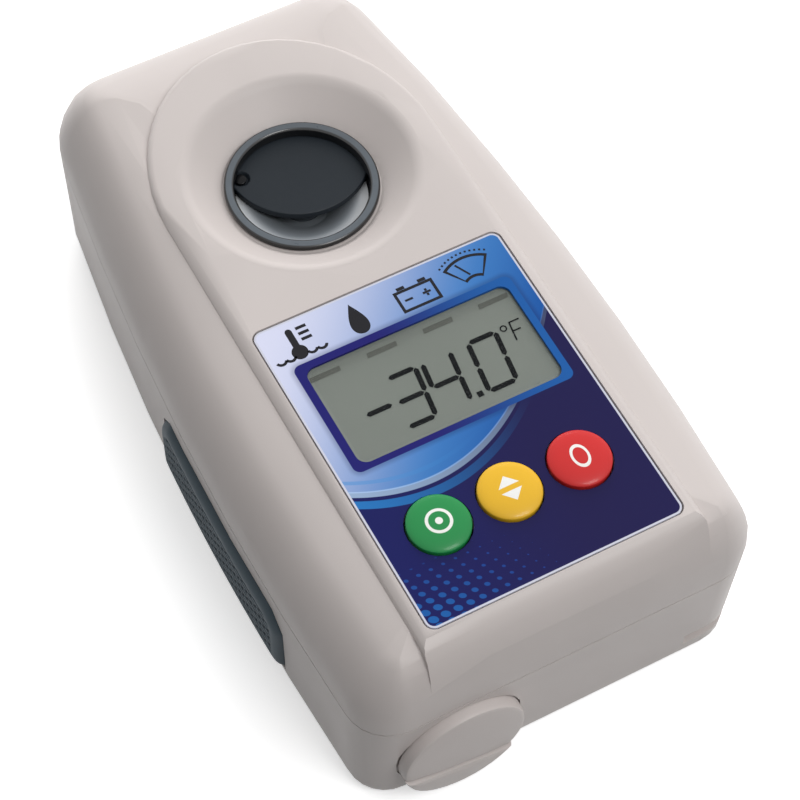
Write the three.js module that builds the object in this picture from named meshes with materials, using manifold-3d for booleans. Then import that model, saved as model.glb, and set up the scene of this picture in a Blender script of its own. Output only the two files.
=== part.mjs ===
// Pocket digital refractometer. Millimetres, +Z up, standing on its feet at z = 0.
// +Y points from the buttons towards the sample well, +X to the right of someone reading the display.
import * as THREE from 'three';
import { mergeVertices } from 'three/addons/utils/BufferGeometryUtils.js';
import Module from 'manifold-3d';

const wasm = await Module();
wasm.setup();

// Clearances shared by all pieces
const fit = 0.3;
const overrun = 2;
const weldDistance = 0.0005;

// Case
const caseLength = 129.8;
const frontHalfWidth = 34.8;
const middleHalfWidth = 35.7;
const wellHalfWidth = 28.3;
const frontCornerRadius = 7.6;
const wellCornerRadius = 10.8;
const leastCornerRadius = 0.8;
const caseHeight = 41.7;
const partingRise = 23.4;
const beltRise = 27.2;
const wall = 2.2;
const wallLean = 0.9;
const bottomRound = 2;
const sideRoundWidth = 7;
const frontRoundWidth = 4.8;
const wellRoundWidth = 7.5;
const shoulderStart = 22.5;
const shoulderFall = 5;
const wellFallLength = 22;
const wellFall = 5.2;
const lipRise = 2;
const lipThickness = 0.9;
const gasketSide = 0.8;

// Raised plateau on the top
const plateauHalfWidth = 24.4;
const plateauStep = 1.2;
const plateauEdge = 1.1;
const raisedSetback = 0.12;
const plateauWellReach = 29;

// Label and display
const labelWidth = 44.2;
const labelLength = 58.4;
const labelCorner = 1.5;
const labelThickness = 0.5;
const labelSetDown = 0.1;
const labelFrontMargin = 5.8;
const displaySideMargin = 4.3;
const displayWidth = labelWidth - displaySideMargin * 2;
const displayLength = 18.6;
const displayCorner = 1.5;
const displayAhead = 10;
const displayShift = 0.3;
const lcdBorder = 2.4;
const lcdThickness = 1.8;
const holderLedge = 1.4;
const holderWall = 1.2;
const stripWidth = 1.8;
const stripInset = 0.6;

// Buttons
const buttonSideMargin = 3.6;
const buttonGap = 2.2;
const buttonSpacing = (labelWidth - buttonSideMargin * 2) / 3;
const buttonRadius = (buttonSpacing - buttonGap) / 2;
const buttonBehind = 14.1;
const buttonDome = 1.3;
const buttonRim = 0.35;
const buttonFlange = 0.7;
const buttonFlangeThickness = 1;
const buttonTravel = 0.5;
const switchSide = 6;
const switchHeight = 2;
const switchWellDepth = 1.5;
const plungerRadius = 1.6;
const plungerLength = 1.3;

// Main board
const boardHalfWidth = 24;
const boardThickness = 1.6;
const boardDrop = 7.9;
const boardFrontMargin = 13.9;
const boardLength = 59;
const boardScrewInset = 2.6;
const boardScrewRadius = 1.1;
const boardScrewHeadRadius = 2;
const boardScrewHeadHeight = 1.3;
const boardScrewGrip = 2.8;
const boardPostRadius = 2.4;

// Sample well
const wellFromLabel = 54.4;
const dishRadius = 20;
const dishSoftEdge = 0.7;
const landDepth = 5;
const landRadius = 13.2;
const landThickness = 0.6;
const bezelRadius = 12.9;
const bezelInner = 11.2;
const bezelSkirt = 11.9;
const bezelHeight = 0.9;
const bezelRound = 0.45;
const bezelStep = 0.35;
const coverRadius = 12.4;
const coverThickness = 1.2;
const coverEar = 1.5;
const coverEarThickness = 0.4;
const pinDistance = 10.5;
const pinAngle = 139;
const pinRadius = 0.9;
const pinHeadRadius = 1;
const pinHeadHeight = 0.5;
const coverRestTurn = 43;
const coverOpenTurn = 118;
const pocketClearance = 0.8;
const clipRadius = 2;
const clipThickness = 0.6;
const pinBelow = 0.6;
const pinBossRadius = 1.8;
const trayWall = 1.6;
const trayFloor = 2.4;
const trayPostRadius = 2.3;
const trayScrewGrip = 3;
const dishShell = 1.9;
const bowlRim = 0.6;
const bowlThickness = 0.9;
const bowlDepth = 2.6;
const bowlHole = 4.4;
const bowlRadius = 11;
const bowlCurve = 1.8;
const bowlRelief = 1;

// Optics
const prismRadius = 3.2;
const prismNeck = 1.6;
const prismHeight = 5.4;
const prismTopHalf = 7;
const prismBottomHalf = 3;
const prismHalfWidth = 4;
const sealThickness = 0.9;
const sealRadius = 6.6;
const blockReach = 20;
const blockHeadHalf = 9.5;
const beamWall = 2;
const blockHalfWidth = 9.8;
const beamSlope = 40;
const beamRadius = 3.5;
const lampRadius = 2.5;
const lampLength = 6;
const lampFlange = 0.5;
const lampReach = 17.5;
const lensThickness = 1.8;
const lensReach = 10.5;
const sensorReach = 21.5;
const sensorBoardWidth = 18;
const sensorBoardHeight = 14;
const sensorBoardThickness = 1.2;
const sensorChipWidth = 11;
const sensorChipHeight = 5;
const sensorChipThickness = 2;
const probeRadius = 0.9;
const probeOut = 8.6;
const probeLength = 4;
const probeDrop = 1.6;
const cableRadius = 1;
const cableReach = 13.6;

// Battery compartment
const cellRadius = 7.1;
const cellLength = 49.5;
const cellButtonRadius = 2.7;
const cellButtonHeight = 1;
const tubeWall = 0.9;
const tubeClearance = 0.4;
const tubeEnd = 1.2;
const tubeFromSide = 17.2;
const tubeAside = middleHalfWidth - tubeFromSide;
const tubeRise = 11.3;
const springTurns = 3;
const springStretch = 4.4;
const springWideRadius = 4.6;
const springNarrowRadius = 3;
const springWireRadius = 0.4;
const contactThickness = 0.5;
const contactRadius = 6.3;
const cradleThickness = 2;
const cradleShares = [0.16, 0.46, 0.74];
const capRadius = 10.8;
const capSeatDepth = 0.3;
const capThickness = 3.1;
const capRound = 0.9;
const capCrown = 0.35;
const capTilt = 12;
const capGrooveOffset = 4.2;
const capGrooveWidth = 0.9;
const capGrooveDepth = 0.7;
const capLipProud = 0.6;
const capLipSlope = 1.2;
const capPlugLength = 4.1;
const capSealWire = 1.1;

// Grips, feet and screws
const gripFrontMargin = 27.4;
const gripLength = 44.2;
const gripLow = 3.4;
const gripHigh = 18.6;
const gripDepth = 1;
const gripProud = 1.2;
const gripChamfer = 1.6;
const gripEndChamfer = 3.2;
const grooveFrom = 23.7;
const grooveLow = 4;
const grooveHigh = 6.9;
const grooveDepth = 1.3;
const grooveBack = 10;
const footRadius = 4.2;
const footHeight = 0.8;
const footSunk = 0.6;
const footSideInset = 9;
const footFrontInset = 20;
const footWellInset = 22;
const screwRadius = 1.4;
const screwHeadRadius = 2.7;
const screwHeadHeight = 2;
const screwSeat = 13.5;
const screwGrip = 8;
const bossRadius = 4;
const upperBossRadius = 3.6;
const screwFrontInset = 9.9;
const screwFrontRight = 27;
const screwFrontLeft = 5;
const screwWellInset = 10.9;
const screwWellAside = 21.2;

// Fineness of round shapes
const coarseSides = 12;
const fineSides = 24;
const roundSides = 36;
const screwSides = 8;
const hiddenSides = 16;
const fineOutline = { cornerSteps: 6, sideSteps: 6, endSteps: 2, roundSteps: 5 };
const plainOutline = { cornerSteps: 3, sideSteps: 5, endSteps: 2, roundSteps: 3 };
const sweepSides = 8;
const crownShare = 0.6;

// Levels above the table and places along the case that several pieces share
const floorLevel = footHeight;
const topLevel = floorLevel + caseHeight;
const partingLevel = floorLevel + partingRise;
const beltLevel = floorLevel + beltRise;
const halfLength = caseLength / 2;
const ceilingLevel = topLevel - plateauStep - wall;
const labelY = -halfLength + labelFrontMargin + labelLength / 2;
const wellY = labelY + wellFromLabel;
const recessLevel = topLevel - labelSetDown - labelThickness - fit;
const boardTop = topLevel - boardDrop;
const landLevel = topLevel - landDepth;
const landUnder = landLevel - landThickness;
const coverTop = landUnder - fit;
const coverUnder = coverTop - coverThickness;
const trayTop = coverUnder - fit;
const tubeInner = cellRadius + tubeClearance;
const tubeOuter = tubeInner + tubeWall;
const tubeLevel = floorLevel + tubeRise;
const seatY = -halfLength + wallLean + capSeatDepth;
const capBack = seatY - fit;
const capFace = capBack - capThickness;
const capFront = capFace - capLipProud;
const degree = Math.PI / 180;

const object = new THREE.Group();
const middleY = -(halfLength + capFront) / 2;
object.position.y = middleY;

// Turning geometries into solids and back
function solidOf(geometry) {
  const bare = geometry.clone();
  bare.deleteAttribute('normal');
  bare.deleteAttribute('uv');
  const merged = mergeVertices(bare, weldDistance);
  const place = merged.attributes.position;
  const corner = (n) => new THREE.Vector3().fromBufferAttribute(place, n);
  const faces = [];
  let volume = 0;
  for (let i = 0; i < merged.index.count; i += 3) {
    const [a, b, c] = [0, 1, 2].map((k) => merged.index.getX(i + k));
    if (a === b || b === c || c === a) continue;
    faces.push([a, b, c]);
    volume += corner(a).dot(corner(b).cross(corner(c)));
  }
  const outward = volume < 0 ? faces.map(([a, b, c]) => [a, c, b]) : faces;
  const mesh = new wasm.Mesh({
    numProp: 3,
    vertProperties: new Float32Array(place.array),
    triVerts: new Uint32Array(outward.flat()),
  });
  return new wasm.Manifold(mesh);
}

function geometryOf(solid) {
  const mesh = solid.getMesh();
  const geometry = new THREE.BufferGeometry();
  geometry.setAttribute('position', new THREE.BufferAttribute(mesh.vertProperties, 3));
  geometry.setIndex(new THREE.BufferAttribute(mesh.triVerts, 1));
  geometry.computeVertexNormals();
  return geometry;
}

function addPiece(name, solid, material, group = object) {
  const mesh = new THREE.Mesh(geometryOf(solid), material);
  mesh.name = name;
  group.add(mesh);
  return mesh;
}

function material(color, roughness, metalness = 0) {
  return new THREE.MeshStandardMaterial({ color, roughness, metalness });
}

// Basic forms
function block(x0, x1, y0, y1, z0, z1) {
  const geometry = new THREE.BoxGeometry(x1 - x0, y1 - y0, z1 - z0);
  geometry.translate((x0 + x1) / 2, (y0 + y1) / 2, (z0 + z1) / 2);
  return solidOf(geometry);
}

function uprightRod(radius, x, y, z0, z1, sides = coarseSides) {
  const geometry = new THREE.CylinderGeometry(radius, radius, z1 - z0, sides);
  geometry.rotateX(Math.PI / 2);
  geometry.translate(x, y, (z0 + z1) / 2);
  return solidOf(geometry);
}

function lyingRod(radius, x, z, y0, y1, sides = fineSides) {
  const geometry = new THREE.CylinderGeometry(radius, radius, y1 - y0, sides);
  geometry.translate(x, (y0 + y1) / 2, z);
  return solidOf(geometry);
}

function turnedUpright(profile, x, y, sides = roundSides) {
  const points = profile.map(([r, z]) => new THREE.Vector2(r, z));
  const geometry = new THREE.LatheGeometry(points, sides);
  geometry.rotateX(Math.PI / 2);
  geometry.translate(x, y, 0);
  return solidOf(geometry);
}

function turnedLying(profile, x, z, sides = fineSides) {
  const points = profile.map(([r, y]) => new THREE.Vector2(r, y));
  const geometry = new THREE.LatheGeometry(points, sides);
  geometry.translate(x, 0, z);
  return solidOf(geometry);
}

function roundedRectangle(width, length, corner, x = 0, y = 0) {
  const shape = new THREE.Shape();
  const right = x + width / 2;
  const left = x - width / 2;
  const far = y + length / 2;
  const near = y - length / 2;
  shape.moveTo(left + corner, near);
  shape.lineTo(right - corner, near);
  shape.absarc(right - corner, near + corner, corner, -Math.PI / 2, 0);
  shape.lineTo(right, far - corner);
  shape.absarc(right - corner, far - corner, corner, 0, Math.PI / 2);
  shape.lineTo(left + corner, far);
  shape.absarc(left + corner, far - corner, corner, Math.PI / 2, Math.PI);
  shape.lineTo(left, near + corner);
  shape.absarc(left + corner, near + corner, corner, Math.PI, Math.PI * 3 / 2);
  return shape;
}

function plate(shape, z0, z1, curveSegments = 6) {
  const geometry = new THREE.ExtrudeGeometry(shape, { depth: z1 - z0, bevelEnabled: false, curveSegments });
  geometry.translate(0, 0, z0);
  return solidOf(geometry);
}

// A closed skin through rings of equally many points, with a fan over each end
function loftGeometry(rings) {
  const count = rings[0].length;
  const positions = rings.flat(2);
  const index = [];
  for (let r = 0; r + 1 < rings.length; r++) {
    for (let i = 0; i < count; i++) {
      const a = r * count + i;
      const b = r * count + (i + 1) % count;
      index.push(a, b, b + count, a, b + count, a + count);
    }
  }
  for (const [start, flip] of [[0, true], [(rings.length - 1) * count, false]]) {
    const centre = positions.length / 3;
    const ring = positions.slice(start * 3, (start + count) * 3);
    for (let axis = 0; axis < 3; axis++) {
      const values = ring.filter((_, k) => k % 3 === axis);
      positions.push(values.reduce((s, v) => s + v) / count);
    }
    for (let i = 0; i < count; i++) {
      const pair = [start + i, start + (i + 1) % count];
      index.push(...(flip ? pair.reverse() : pair), centre);
    }
  }
  const geometry = new THREE.BufferGeometry();
  geometry.setAttribute('position', new THREE.Float32BufferAttribute(positions, 3));
  geometry.setIndex(index);
  return geometry;
}

function loft(rings) {
  return solidOf(loftGeometry(rings));
}

// Plan of the case: a barrel-sided outline that narrows towards the well, set in by three insets
function halfWidthAt(y) {
  const share = y / halfLength;
  const mean = (frontHalfWidth + wellHalfWidth) / 2;
  const taper = (wellHalfWidth - frontHalfWidth) / 2;
  return middleHalfWidth + taper * share + (mean - middleHalfWidth) * share * share;
}

function caseOutline(side, front, well, fineness = fineOutline) {
  const { cornerSteps, sideSteps, endSteps } = fineness;
  const half = [];
  const nearX = Math.max(frontCornerRadius - side, leastCornerRadius);
  const nearY = Math.max(frontCornerRadius - front, leastCornerRadius);
  const farX = Math.max(wellCornerRadius - side, leastCornerRadius);
  const farY = Math.max(wellCornerRadius - well, leastCornerRadius);
  const nearCentreY = -halfLength + front + nearY;
  const farCentreY = halfLength - well - farY;
  const nearCentreX = halfWidthAt(nearCentreY) - side - nearX;
  const farCentreX = halfWidthAt(farCentreY) - side - farX;
  for (let i = 0; i < endSteps; i++) half.push([nearCentreX * i / endSteps, nearCentreY - nearY]);
  for (let i = 0; i <= cornerSteps; i++) {
    const turn = i / cornerSteps * Math.PI / 2;
    half.push([nearCentreX + nearX * Math.sin(turn), nearCentreY - nearY * Math.cos(turn)]);
  }
  for (let i = 1; i < sideSteps; i++) {
    const y = nearCentreY + (farCentreY - nearCentreY) * i / sideSteps;
    half.push([halfWidthAt(y) - side, y]);
  }
  for (let i = 0; i <= cornerSteps; i++) {
    const turn = i / cornerSteps * Math.PI / 2;
    half.push([farCentreX + farX * Math.cos(turn), farCentreY + farY * Math.sin(turn)]);
  }
  for (let i = endSteps - 1; i >= 0; i--) half.push([farCentreX * i / endSteps, farCentreY + farY]);
  const mirrored = half.slice(1, -1).reverse().map(([x, y]) => [-x, y]);
  return [...half, ...mirrored];
}

// Height of the top surface beside the plateau, falling to the sides and to the well end
function shoulderLevel(x, y) {
  const out = THREE.MathUtils.clamp((Math.abs(x) - shoulderStart) / (halfWidthAt(y) - shoulderStart), 0, 1);
  const back = THREE.MathUtils.clamp((y - halfLength) / wellFallLength + 1, 0, 1);
  return topLevel - plateauStep - shoulderFall * out * out - wellFall * back * back;
}

// The case body between a bottom level and a top surface, all walls moved in by `inset`
function caseBody(inset, bottom, bottomCorner, topSurface, fineness = fineOutline) {
  const rings = [];
  const ring = (side, front, well, level) => {
    rings.push(caseOutline(side, front, well, fineness).map(([x, y]) => [x, y, level(x, y)]));
  };
  for (let i = 0; i <= 3; i++) {
    const turn = i / 3 * Math.PI / 2;
    const set = inset + wallLean + bottomCorner * (1 - Math.sin(turn));
    ring(set, set, set, () => bottom + bottomCorner * (1 - Math.cos(turn)));
  }
  for (let i = 0; i <= fineness.roundSteps; i++) {
    const turn = i / fineness.roundSteps * Math.PI / 2;
    const set = [sideRoundWidth, frontRoundWidth, wellRoundWidth].map((w) => inset + w * (1 - Math.cos(turn)));
    ring(...set, (x, y) => beltLevel + (topSurface(x, y) - beltLevel) * Math.sin(turn));
  }
  for (const more of [wall * 1.5, wall * 3]) {
    ring(inset + sideRoundWidth + more, inset + frontRoundWidth + more, inset + wellRoundWidth + more, topSurface);
  }
  const last = rings[rings.length - 1];
  rings.push(last.map(([x, y]) => [x * crownShare, y * crownShare, topSurface(x * crownShare, y * crownShare)]));
  return loft(rings);
}

// Plan of the plateau: straight sides along the label, half an ellipse round the well
function plateauOutline(inset) {
  const width = plateauHalfWidth - inset;
  const reach = plateauWellReach - inset;
  const points = [];
  for (let i = 0; i <= fineSides; i++) {
    const turn = i / fineSides * Math.PI;
    points.push([width * Math.cos(turn), wellY + reach * Math.sin(turn)]);
  }
  points.push([-width, -halfLength - overrun], [width, -halfLength - overrun]);
  return points;
}

const raised = caseBody(raisedSetback, floorLevel + raisedSetback, bottomRound, () => topLevel);
const plateauPrism = loft([
  [0, beltLevel],
  [0, topLevel - plateauEdge],
  [plateauEdge * 0.3, topLevel - plateauEdge * 0.42],
  [plateauEdge, topLevel],
  [plateauEdge, topLevel + overrun],
].map(([inset, z]) => plateauOutline(inset).map(([x, y]) => [x, y, z])));
const outerBody = caseBody(0, floorLevel, bottomRound, shoulderLevel).add(raised.intersect(plateauPrism));
const cavity = caseBody(
  wall,
  floorLevel + wall,
  bottomRound / 2,
  (x, y) => shoulderLevel(x, y) - wall,
  plainOutline,
);
const above = block(-caseLength, caseLength, -caseLength, caseLength, partingLevel + fit / 2, topLevel + overrun);
const below = block(-caseLength, caseLength, -caseLength, caseLength, -overrun, partingLevel - fit / 2);

// Places shared by the two case halves
const caseScrews = [
  ['front_left', -screwFrontLeft, -halfLength + screwFrontInset * 0.7],
  ['front_right', screwFrontRight, -halfLength + screwFrontInset],
  ['well_left', -screwWellAside, halfLength - screwWellInset],
  ['well_right', screwWellAside, halfLength - screwWellInset],
];
const capSeat = lyingRod(capRadius + fit, -tubeAside, tubeLevel, -halfLength - overrun, seatY, fineSides);
const buttonPlaces = [
  ['green', -buttonSpacing, 0x1f9d5a],
  ['yellow', 0, 0xe8b931],
  ['red', buttonSpacing, 0xd8373c],
];
const buttonY = labelY - buttonBehind;
const displayY = labelY + displayAhead;
const boardNear = -halfLength + boardFrontMargin;
const boardFar = boardNear + boardLength;
const boardScrews = [
  ['near_left', -1, boardNear + boardScrewInset],
  ['near_right', 1, boardNear + boardScrewInset],
  ['far_left', -1, boardFar - boardScrewInset],
  ['far_right', 1, boardFar - boardScrewInset],
].map(([name, side, y]) => [name, side * (boardHalfWidth - boardScrewInset), y]);

const caseGrey = material(0xd6cfcb, 0.55);
const innerGrey = material(0x4b5056, 0.6);
const blackPlastic = material(0x1c1f22, 0.35);
const rubber = material(0x2c3940, 0.85);
const steel = material(0xb9bdc0, 0.28, 1);
const nickel = material(0xc4c2bb, 0.35, 1);

// Dish round the sample well: a cone with a softened edge that ends in a flat land
function dishProfile(shell) {
  const soft = dishSoftEdge;
  return [
    [0, landUnder - overrun],
    [bezelSkirt + fit, landUnder - overrun],
    [bezelSkirt + fit, landLevel],
    [landRadius, landLevel],
    [dishRadius - soft, topLevel - soft * 0.45],
    [dishRadius, topLevel - soft * 0.12],
    [dishRadius + soft, topLevel + fit],
    [dishRadius + soft, topLevel + overrun],
    [0, topLevel + overrun],
  ];
}

function dishLevel(reach) {
  const share = (reach - landRadius) / (dishRadius - landRadius);
  return landLevel + THREE.MathUtils.clamp(share, 0, 1) * landDepth;
}

const dishHole = turnedUpright(dishProfile(), 0, wellY, roundSides);
const dishBody = turnedUpright([
  [0, landUnder],
  [landRadius + dishShell * 0.3, landUnder],
  [landRadius + dishShell, landUnder + dishShell * 0.4],
  [dishRadius + dishShell, topLevel - plateauStep - dishShell * 0.4],
  [dishRadius + dishShell, topLevel - plateauStep - dishShell * 0.2],
  [0, topLevel - plateauStep - dishShell * 0.2],
], 0, wellY, roundSides);

// A capsule-shaped plan from one point to another
function capsule(x0, y0, x1, y1, radius) {
  const turn = Math.atan2(y1 - y0, x1 - x0);
  const shape = new THREE.Shape();
  shape.absarc(x1, y1, radius, turn - Math.PI / 2, turn + Math.PI / 2);
  shape.absarc(x0, y0, radius, turn + Math.PI / 2, turn + Math.PI * 3 / 2);
  return shape;
}

// Plan of the room that the cover sweeps about its pin, widened by `more`
const pinX = pinDistance * Math.cos(pinAngle * degree);
const pinY = wellY + pinDistance * Math.sin(pinAngle * degree);
const closedHeading = (pinAngle - 180) * degree;
const restHeading = closedHeading + coverRestTurn * degree;
const openHeading = closedHeading + coverOpenTurn * degree;
const coverX = pinX + pinDistance * Math.cos(restHeading);
const coverY = pinY + pinDistance * Math.sin(restHeading);

function sweptRoom(more) {
  const radius = coverRadius + more;
  const outer = pinDistance + radius;
  const half = (openHeading - closedHeading) / 2;
  const cosine = Math.cos(Math.PI - half);
  const back = pinDistance * cosine + Math.sqrt((pinDistance * cosine) ** 2 + radius ** 2 - pinDistance ** 2);
  const heading = (openHeading + closedHeading) / 2 + Math.PI;
  const meetX = pinX + back * Math.cos(heading);
  const meetY = pinY + back * Math.sin(heading);
  const openX = pinX + pinDistance * Math.cos(openHeading);
  const openY = pinY + pinDistance * Math.sin(openHeading);
  const openEnd = Math.atan2(meetY - openY, meetX - openX) + Math.PI * 2;
  const closedStart = Math.atan2(meetY - wellY, meetX);
  const shape = new THREE.Shape();
  shape.absarc(pinX, pinY, outer, closedHeading, openHeading);
  shape.absarc(openX, openY, radius, openHeading, openEnd % (Math.PI * 2));
  shape.absarc(0, wellY, radius, closedStart, closedHeading + Math.PI * 2);
  return shape;
}

const trayUnder = trayTop - trayFloor;
const trayEars = [[18.1, -20], [18.1, 200], [29, 52]].map(([reach, turn]) => [
  reach * Math.cos(turn * degree),
  wellY + reach * Math.sin(turn * degree),
  reach,
]);

// A straight body on the plan of the case, set in all round
function ring(inset, z0, z1) {
  return loft([z0, z1].map((z) => caseOutline(inset, inset, inset).map(([x, y]) => [x, y, z])));
}

// Top half of the case
function topCase() {
  const lipOutside = wall - lipThickness;
  const rebateTop = partingLevel + lipRise + gasketSide + fit * 2;
  const rebate = ring(lipOutside, partingLevel, rebateTop);
  const core = caseBody(
    wall / 2,
    floorLevel + wall / 2,
    bottomRound,
    (x, y) => shoulderLevel(x, y) - wall / 2,
    plainOutline,
  );
  let solid = outerBody.intersect(above).subtract(cavity);
  solid = solid.subtract(rebate);
  solid = solid.add(dishBody);
  for (const [, x, y] of caseScrews) {
    const boss = uprightRod(upperBossRadius, x, y, partingLevel + fit / 2, topLevel, screwSides);
    solid = solid.add(boss.intersect(core));
    solid = solid.subtract(uprightRod(screwRadius + fit, x, y, 0, partingLevel + screwGrip + fit, screwSides));
  }
  for (const [, x, y] of boardScrews) {
    solid = solid.add(uprightRod(boardPostRadius, x, y, boardTop + fit, topLevel, screwSides).intersect(core));
    const boreTop = boardTop + boardScrewGrip + fit;
    solid = solid.subtract(uprightRod(boardScrewRadius + fit, x, y, 0, boreTop, screwSides));
  }
  for (const [x, y, reach] of trayEars) {
    const top = Math.min(shoulderLevel(x, y) - wall / 2, dishLevel(reach) - dishShell / 2);
    solid = solid.add(uprightRod(trayPostRadius, x, y, trayTop + fit, top, screwSides));
    const boreTop = trayTop + trayScrewGrip + fit;
    solid = solid.subtract(uprightRod(boardScrewRadius + fit, x, y, 0, boreTop, screwSides));
  }
  solid = solid.subtract(dishHole);
  const recess = roundedRectangle(labelWidth + fit * 2, labelLength + fit * 2, labelCorner + fit, 0, labelY);
  solid = solid.subtract(plate(recess, recessLevel, topLevel + overrun));
  const open = roundedRectangle(lcdWidth + fit * 2, lcdLength + fit * 2, displayCorner, displayShift, displayY);
  solid = solid.subtract(plate(open, boardTop, topLevel));
  for (const [, x] of buttonPlaces) {
    solid = solid.subtract(uprightRod(buttonRadius + fit, x, buttonY, boardTop, topLevel, fineSides));
  }
  return solid.subtract(tubeRoom).subtract(capSeat);
}

// Heights through the display and the buttons
const labelTop = topLevel - labelSetDown;
const lcdTop = recessLevel;
const lcdUnder = lcdTop - lcdThickness;
const holderTop = ceilingLevel - fit;
const flangeTop = ceilingLevel - fit;
const flangeUnder = flangeTop - buttonFlangeThickness;
const lcdWidth = displayWidth + lcdBorder * 2;
const lcdLength = displayLength + lcdBorder * 2;

// Places along the battery tube, from the cap to the closed end
const plugEnd = capBack + capPlugLength;
const contactFace = plugEnd + contactThickness + fit;
const cellPitch = cellButtonHeight + cellLength + fit;
const frontCellStart = contactFace + fit;
const rearCellStart = frontCellStart + cellPitch;
const springStart = rearCellStart + cellPitch;
const springEnd = springStart + springStretch + springWireRadius * 2;
const rearContactStart = springEnd + fit;
const tubeInnerEnd = rearContactStart + contactThickness + fit;
const tubeOuterEnd = tubeInnerEnd + tubeEnd;
const tubeRoom = lyingRod(
  tubeOuter + fit,
  -tubeAside,
  tubeLevel,
  -halfLength - overrun,
  tubeOuterEnd + fit,
);

// Bottom half of the case
function bottomCase() {
  const outside = wall - lipThickness + fit;
  const inside = wall + wallLean * 0.2;
  const lip = ring(outside, partingLevel - wall, partingLevel + lipRise);
  const lipHole = ring(inside, partingLevel - wall * 2, partingLevel + lipRise + overrun);
  let solid = outerBody.intersect(below).subtract(cavity);
  solid = solid.add(lip.subtract(lipHole));
  for (const share of cradleShares) {
    const y = -halfLength + caseLength * share;
    const cradle = block(
      -tubeAside - tubeOuter - wall,
      -tubeAside + tubeOuter,
      y - cradleThickness / 2,
      y + cradleThickness / 2,
      floorLevel + wall / 2,
      tubeLevel - tubeOuter * 0.6,
    );
    solid = solid.add(cradle.intersect(raised));
  }
  for (const [, x, y] of caseScrews) {
    solid = solid.add(uprightRod(bossRadius, x, y, floorLevel + wall / 2, partingLevel - fit / 2, screwSides));
    solid = solid.subtract(uprightRod(screwRadius + fit, x, y, 0, topLevel, screwSides));
    solid = solid.subtract(uprightRod(screwHeadRadius + fit, x, y, 0, floorLevel + screwSeat, coarseSides));
  }
  for (const [, x, y] of feet) {
    const sink = floorLevel + footSunk + fit;
    solid = solid.subtract(uprightRod(footRadius + fit, x, y, -overrun, sink, fineSides));
  }
  const groove = block(
    grooveFrom,
    caseLength,
    -caseLength,
    -halfLength + grooveBack,
    floorLevel + grooveLow,
    floorLevel + grooveHigh,
  );
  solid = solid.subtract(groove.subtract(caseBody(grooveDepth, floorLevel, bottomRound, shoulderLevel)));
  for (const side of [-1, 1]) solid = solid.subtract(gripPocket(side));
  return solid.subtract(tubeRoom).subtract(capSeat);
}

const feet = [
  ['front_left', -1, frontHalfWidth - footSideInset, -halfLength + footFrontInset],
  ['front_right', 1, frontHalfWidth - footSideInset, -halfLength + footFrontInset],
  ['well_left', -1, wellHalfWidth - footSideInset, halfLength - footWellInset],
  ['well_right', 1, wellHalfWidth - footSideInset, halfLength - footWellInset],
].map(([name, side, aside, y]) => [name, side * aside, y]);

// Side view of a grip, drawn in by `inset`, as a column that reaches outwards from the case
function gripColumn(side, levels) {
  const near = -halfLength + gripFrontMargin;
  const far = near + gripLength;
  const low = floorLevel + gripLow;
  const high = floorLevel + gripHigh;
  const cut = gripEndChamfer;
  return loft(levels.map(([x, inset]) => [
    [near + inset, low + inset],
    [near + inset, high - cut - inset * 0.4],
    [near + cut + inset * 0.4, high - inset],
    [far - cut - inset * 0.4, high - inset],
    [far - inset, high - cut - inset * 0.4],
    [far - inset, low + inset],
  ].map(([y, z]) => [side * x, y, z])));
}

function gripPocket(side) {
  const reach = middleHalfWidth + wall * 2;
  const column = gripColumn(side, [[middleHalfWidth - wall * 2, -fit], [reach, -fit]]);
  return column.subtract(caseBody(gripDepth, floorLevel, bottomRound, shoulderLevel));
}

function grip(side) {
  const core = caseBody(gripDepth - fit, floorLevel, bottomRound, shoulderLevel);
  const skin = caseBody(-gripProud, floorLevel - gripProud, bottomRound, shoulderLevel);
  const column = gripColumn(side, [
    [middleHalfWidth - wall * 2, 0],
    [middleHalfWidth - wallLean, 0],
    [middleHalfWidth + gripProud, gripChamfer],
    [middleHalfWidth + wall * 2, gripChamfer],
  ]);
  return skin.intersect(column).subtract(core);
}

addPiece('top_case', topCase(), caseGrey);
addPiece('bottom_case', bottomCase(), caseGrey.clone());

const gasketOut = wall - lipThickness + fit;
const gasketIn = gasketOut + gasketSide;
const gasketLow = partingLevel + lipRise + fit;
const gasketRing = (inset, more) => ring(inset, gasketLow - more, gasketLow + gasketSide + more);
addPiece('case_seal', gasketRing(gasketOut, 0).subtract(gasketRing(gasketIn, overrun)).subtract(tubeRoom), rubber);

for (const [name, side] of [['left', -1], ['right', 1]]) addPiece(`${name}_grip`, grip(side), rubber.clone());
for (const [name, x, y] of feet) {
  addPiece(`foot_${name}`, turnedUpright([
    [0, floorLevel + footSunk],
    [footRadius, floorLevel + footSunk],
    [footRadius, footHeight * 0.3],
    [footRadius - footHeight * 0.3, 0],
    [0, 0],
  ], x, y, fineSides), rubber.clone());
}

// A screw standing upright: head below, shank above
function screw(radius, headRadius, headHeight, seat, tip, x, y) {
  return turnedUpright([
    [0, seat - headHeight],
    [headRadius * 0.82, seat - headHeight],
    [headRadius, seat - headHeight * 0.6],
    [headRadius, seat],
    [radius, seat],
    [radius, tip - radius],
    [radius * 0.4, tip],
    [0, tip],
  ], x, y, screwSides);
}

for (const [name, x, y] of caseScrews) {
  const seat = floorLevel + screwSeat - fit;
  const tip = partingLevel + screwGrip;
  addPiece(`case_screw_${name}`, screw(screwRadius, screwHeadRadius, screwHeadHeight, seat, tip, x, y), steel.clone());
}

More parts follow.
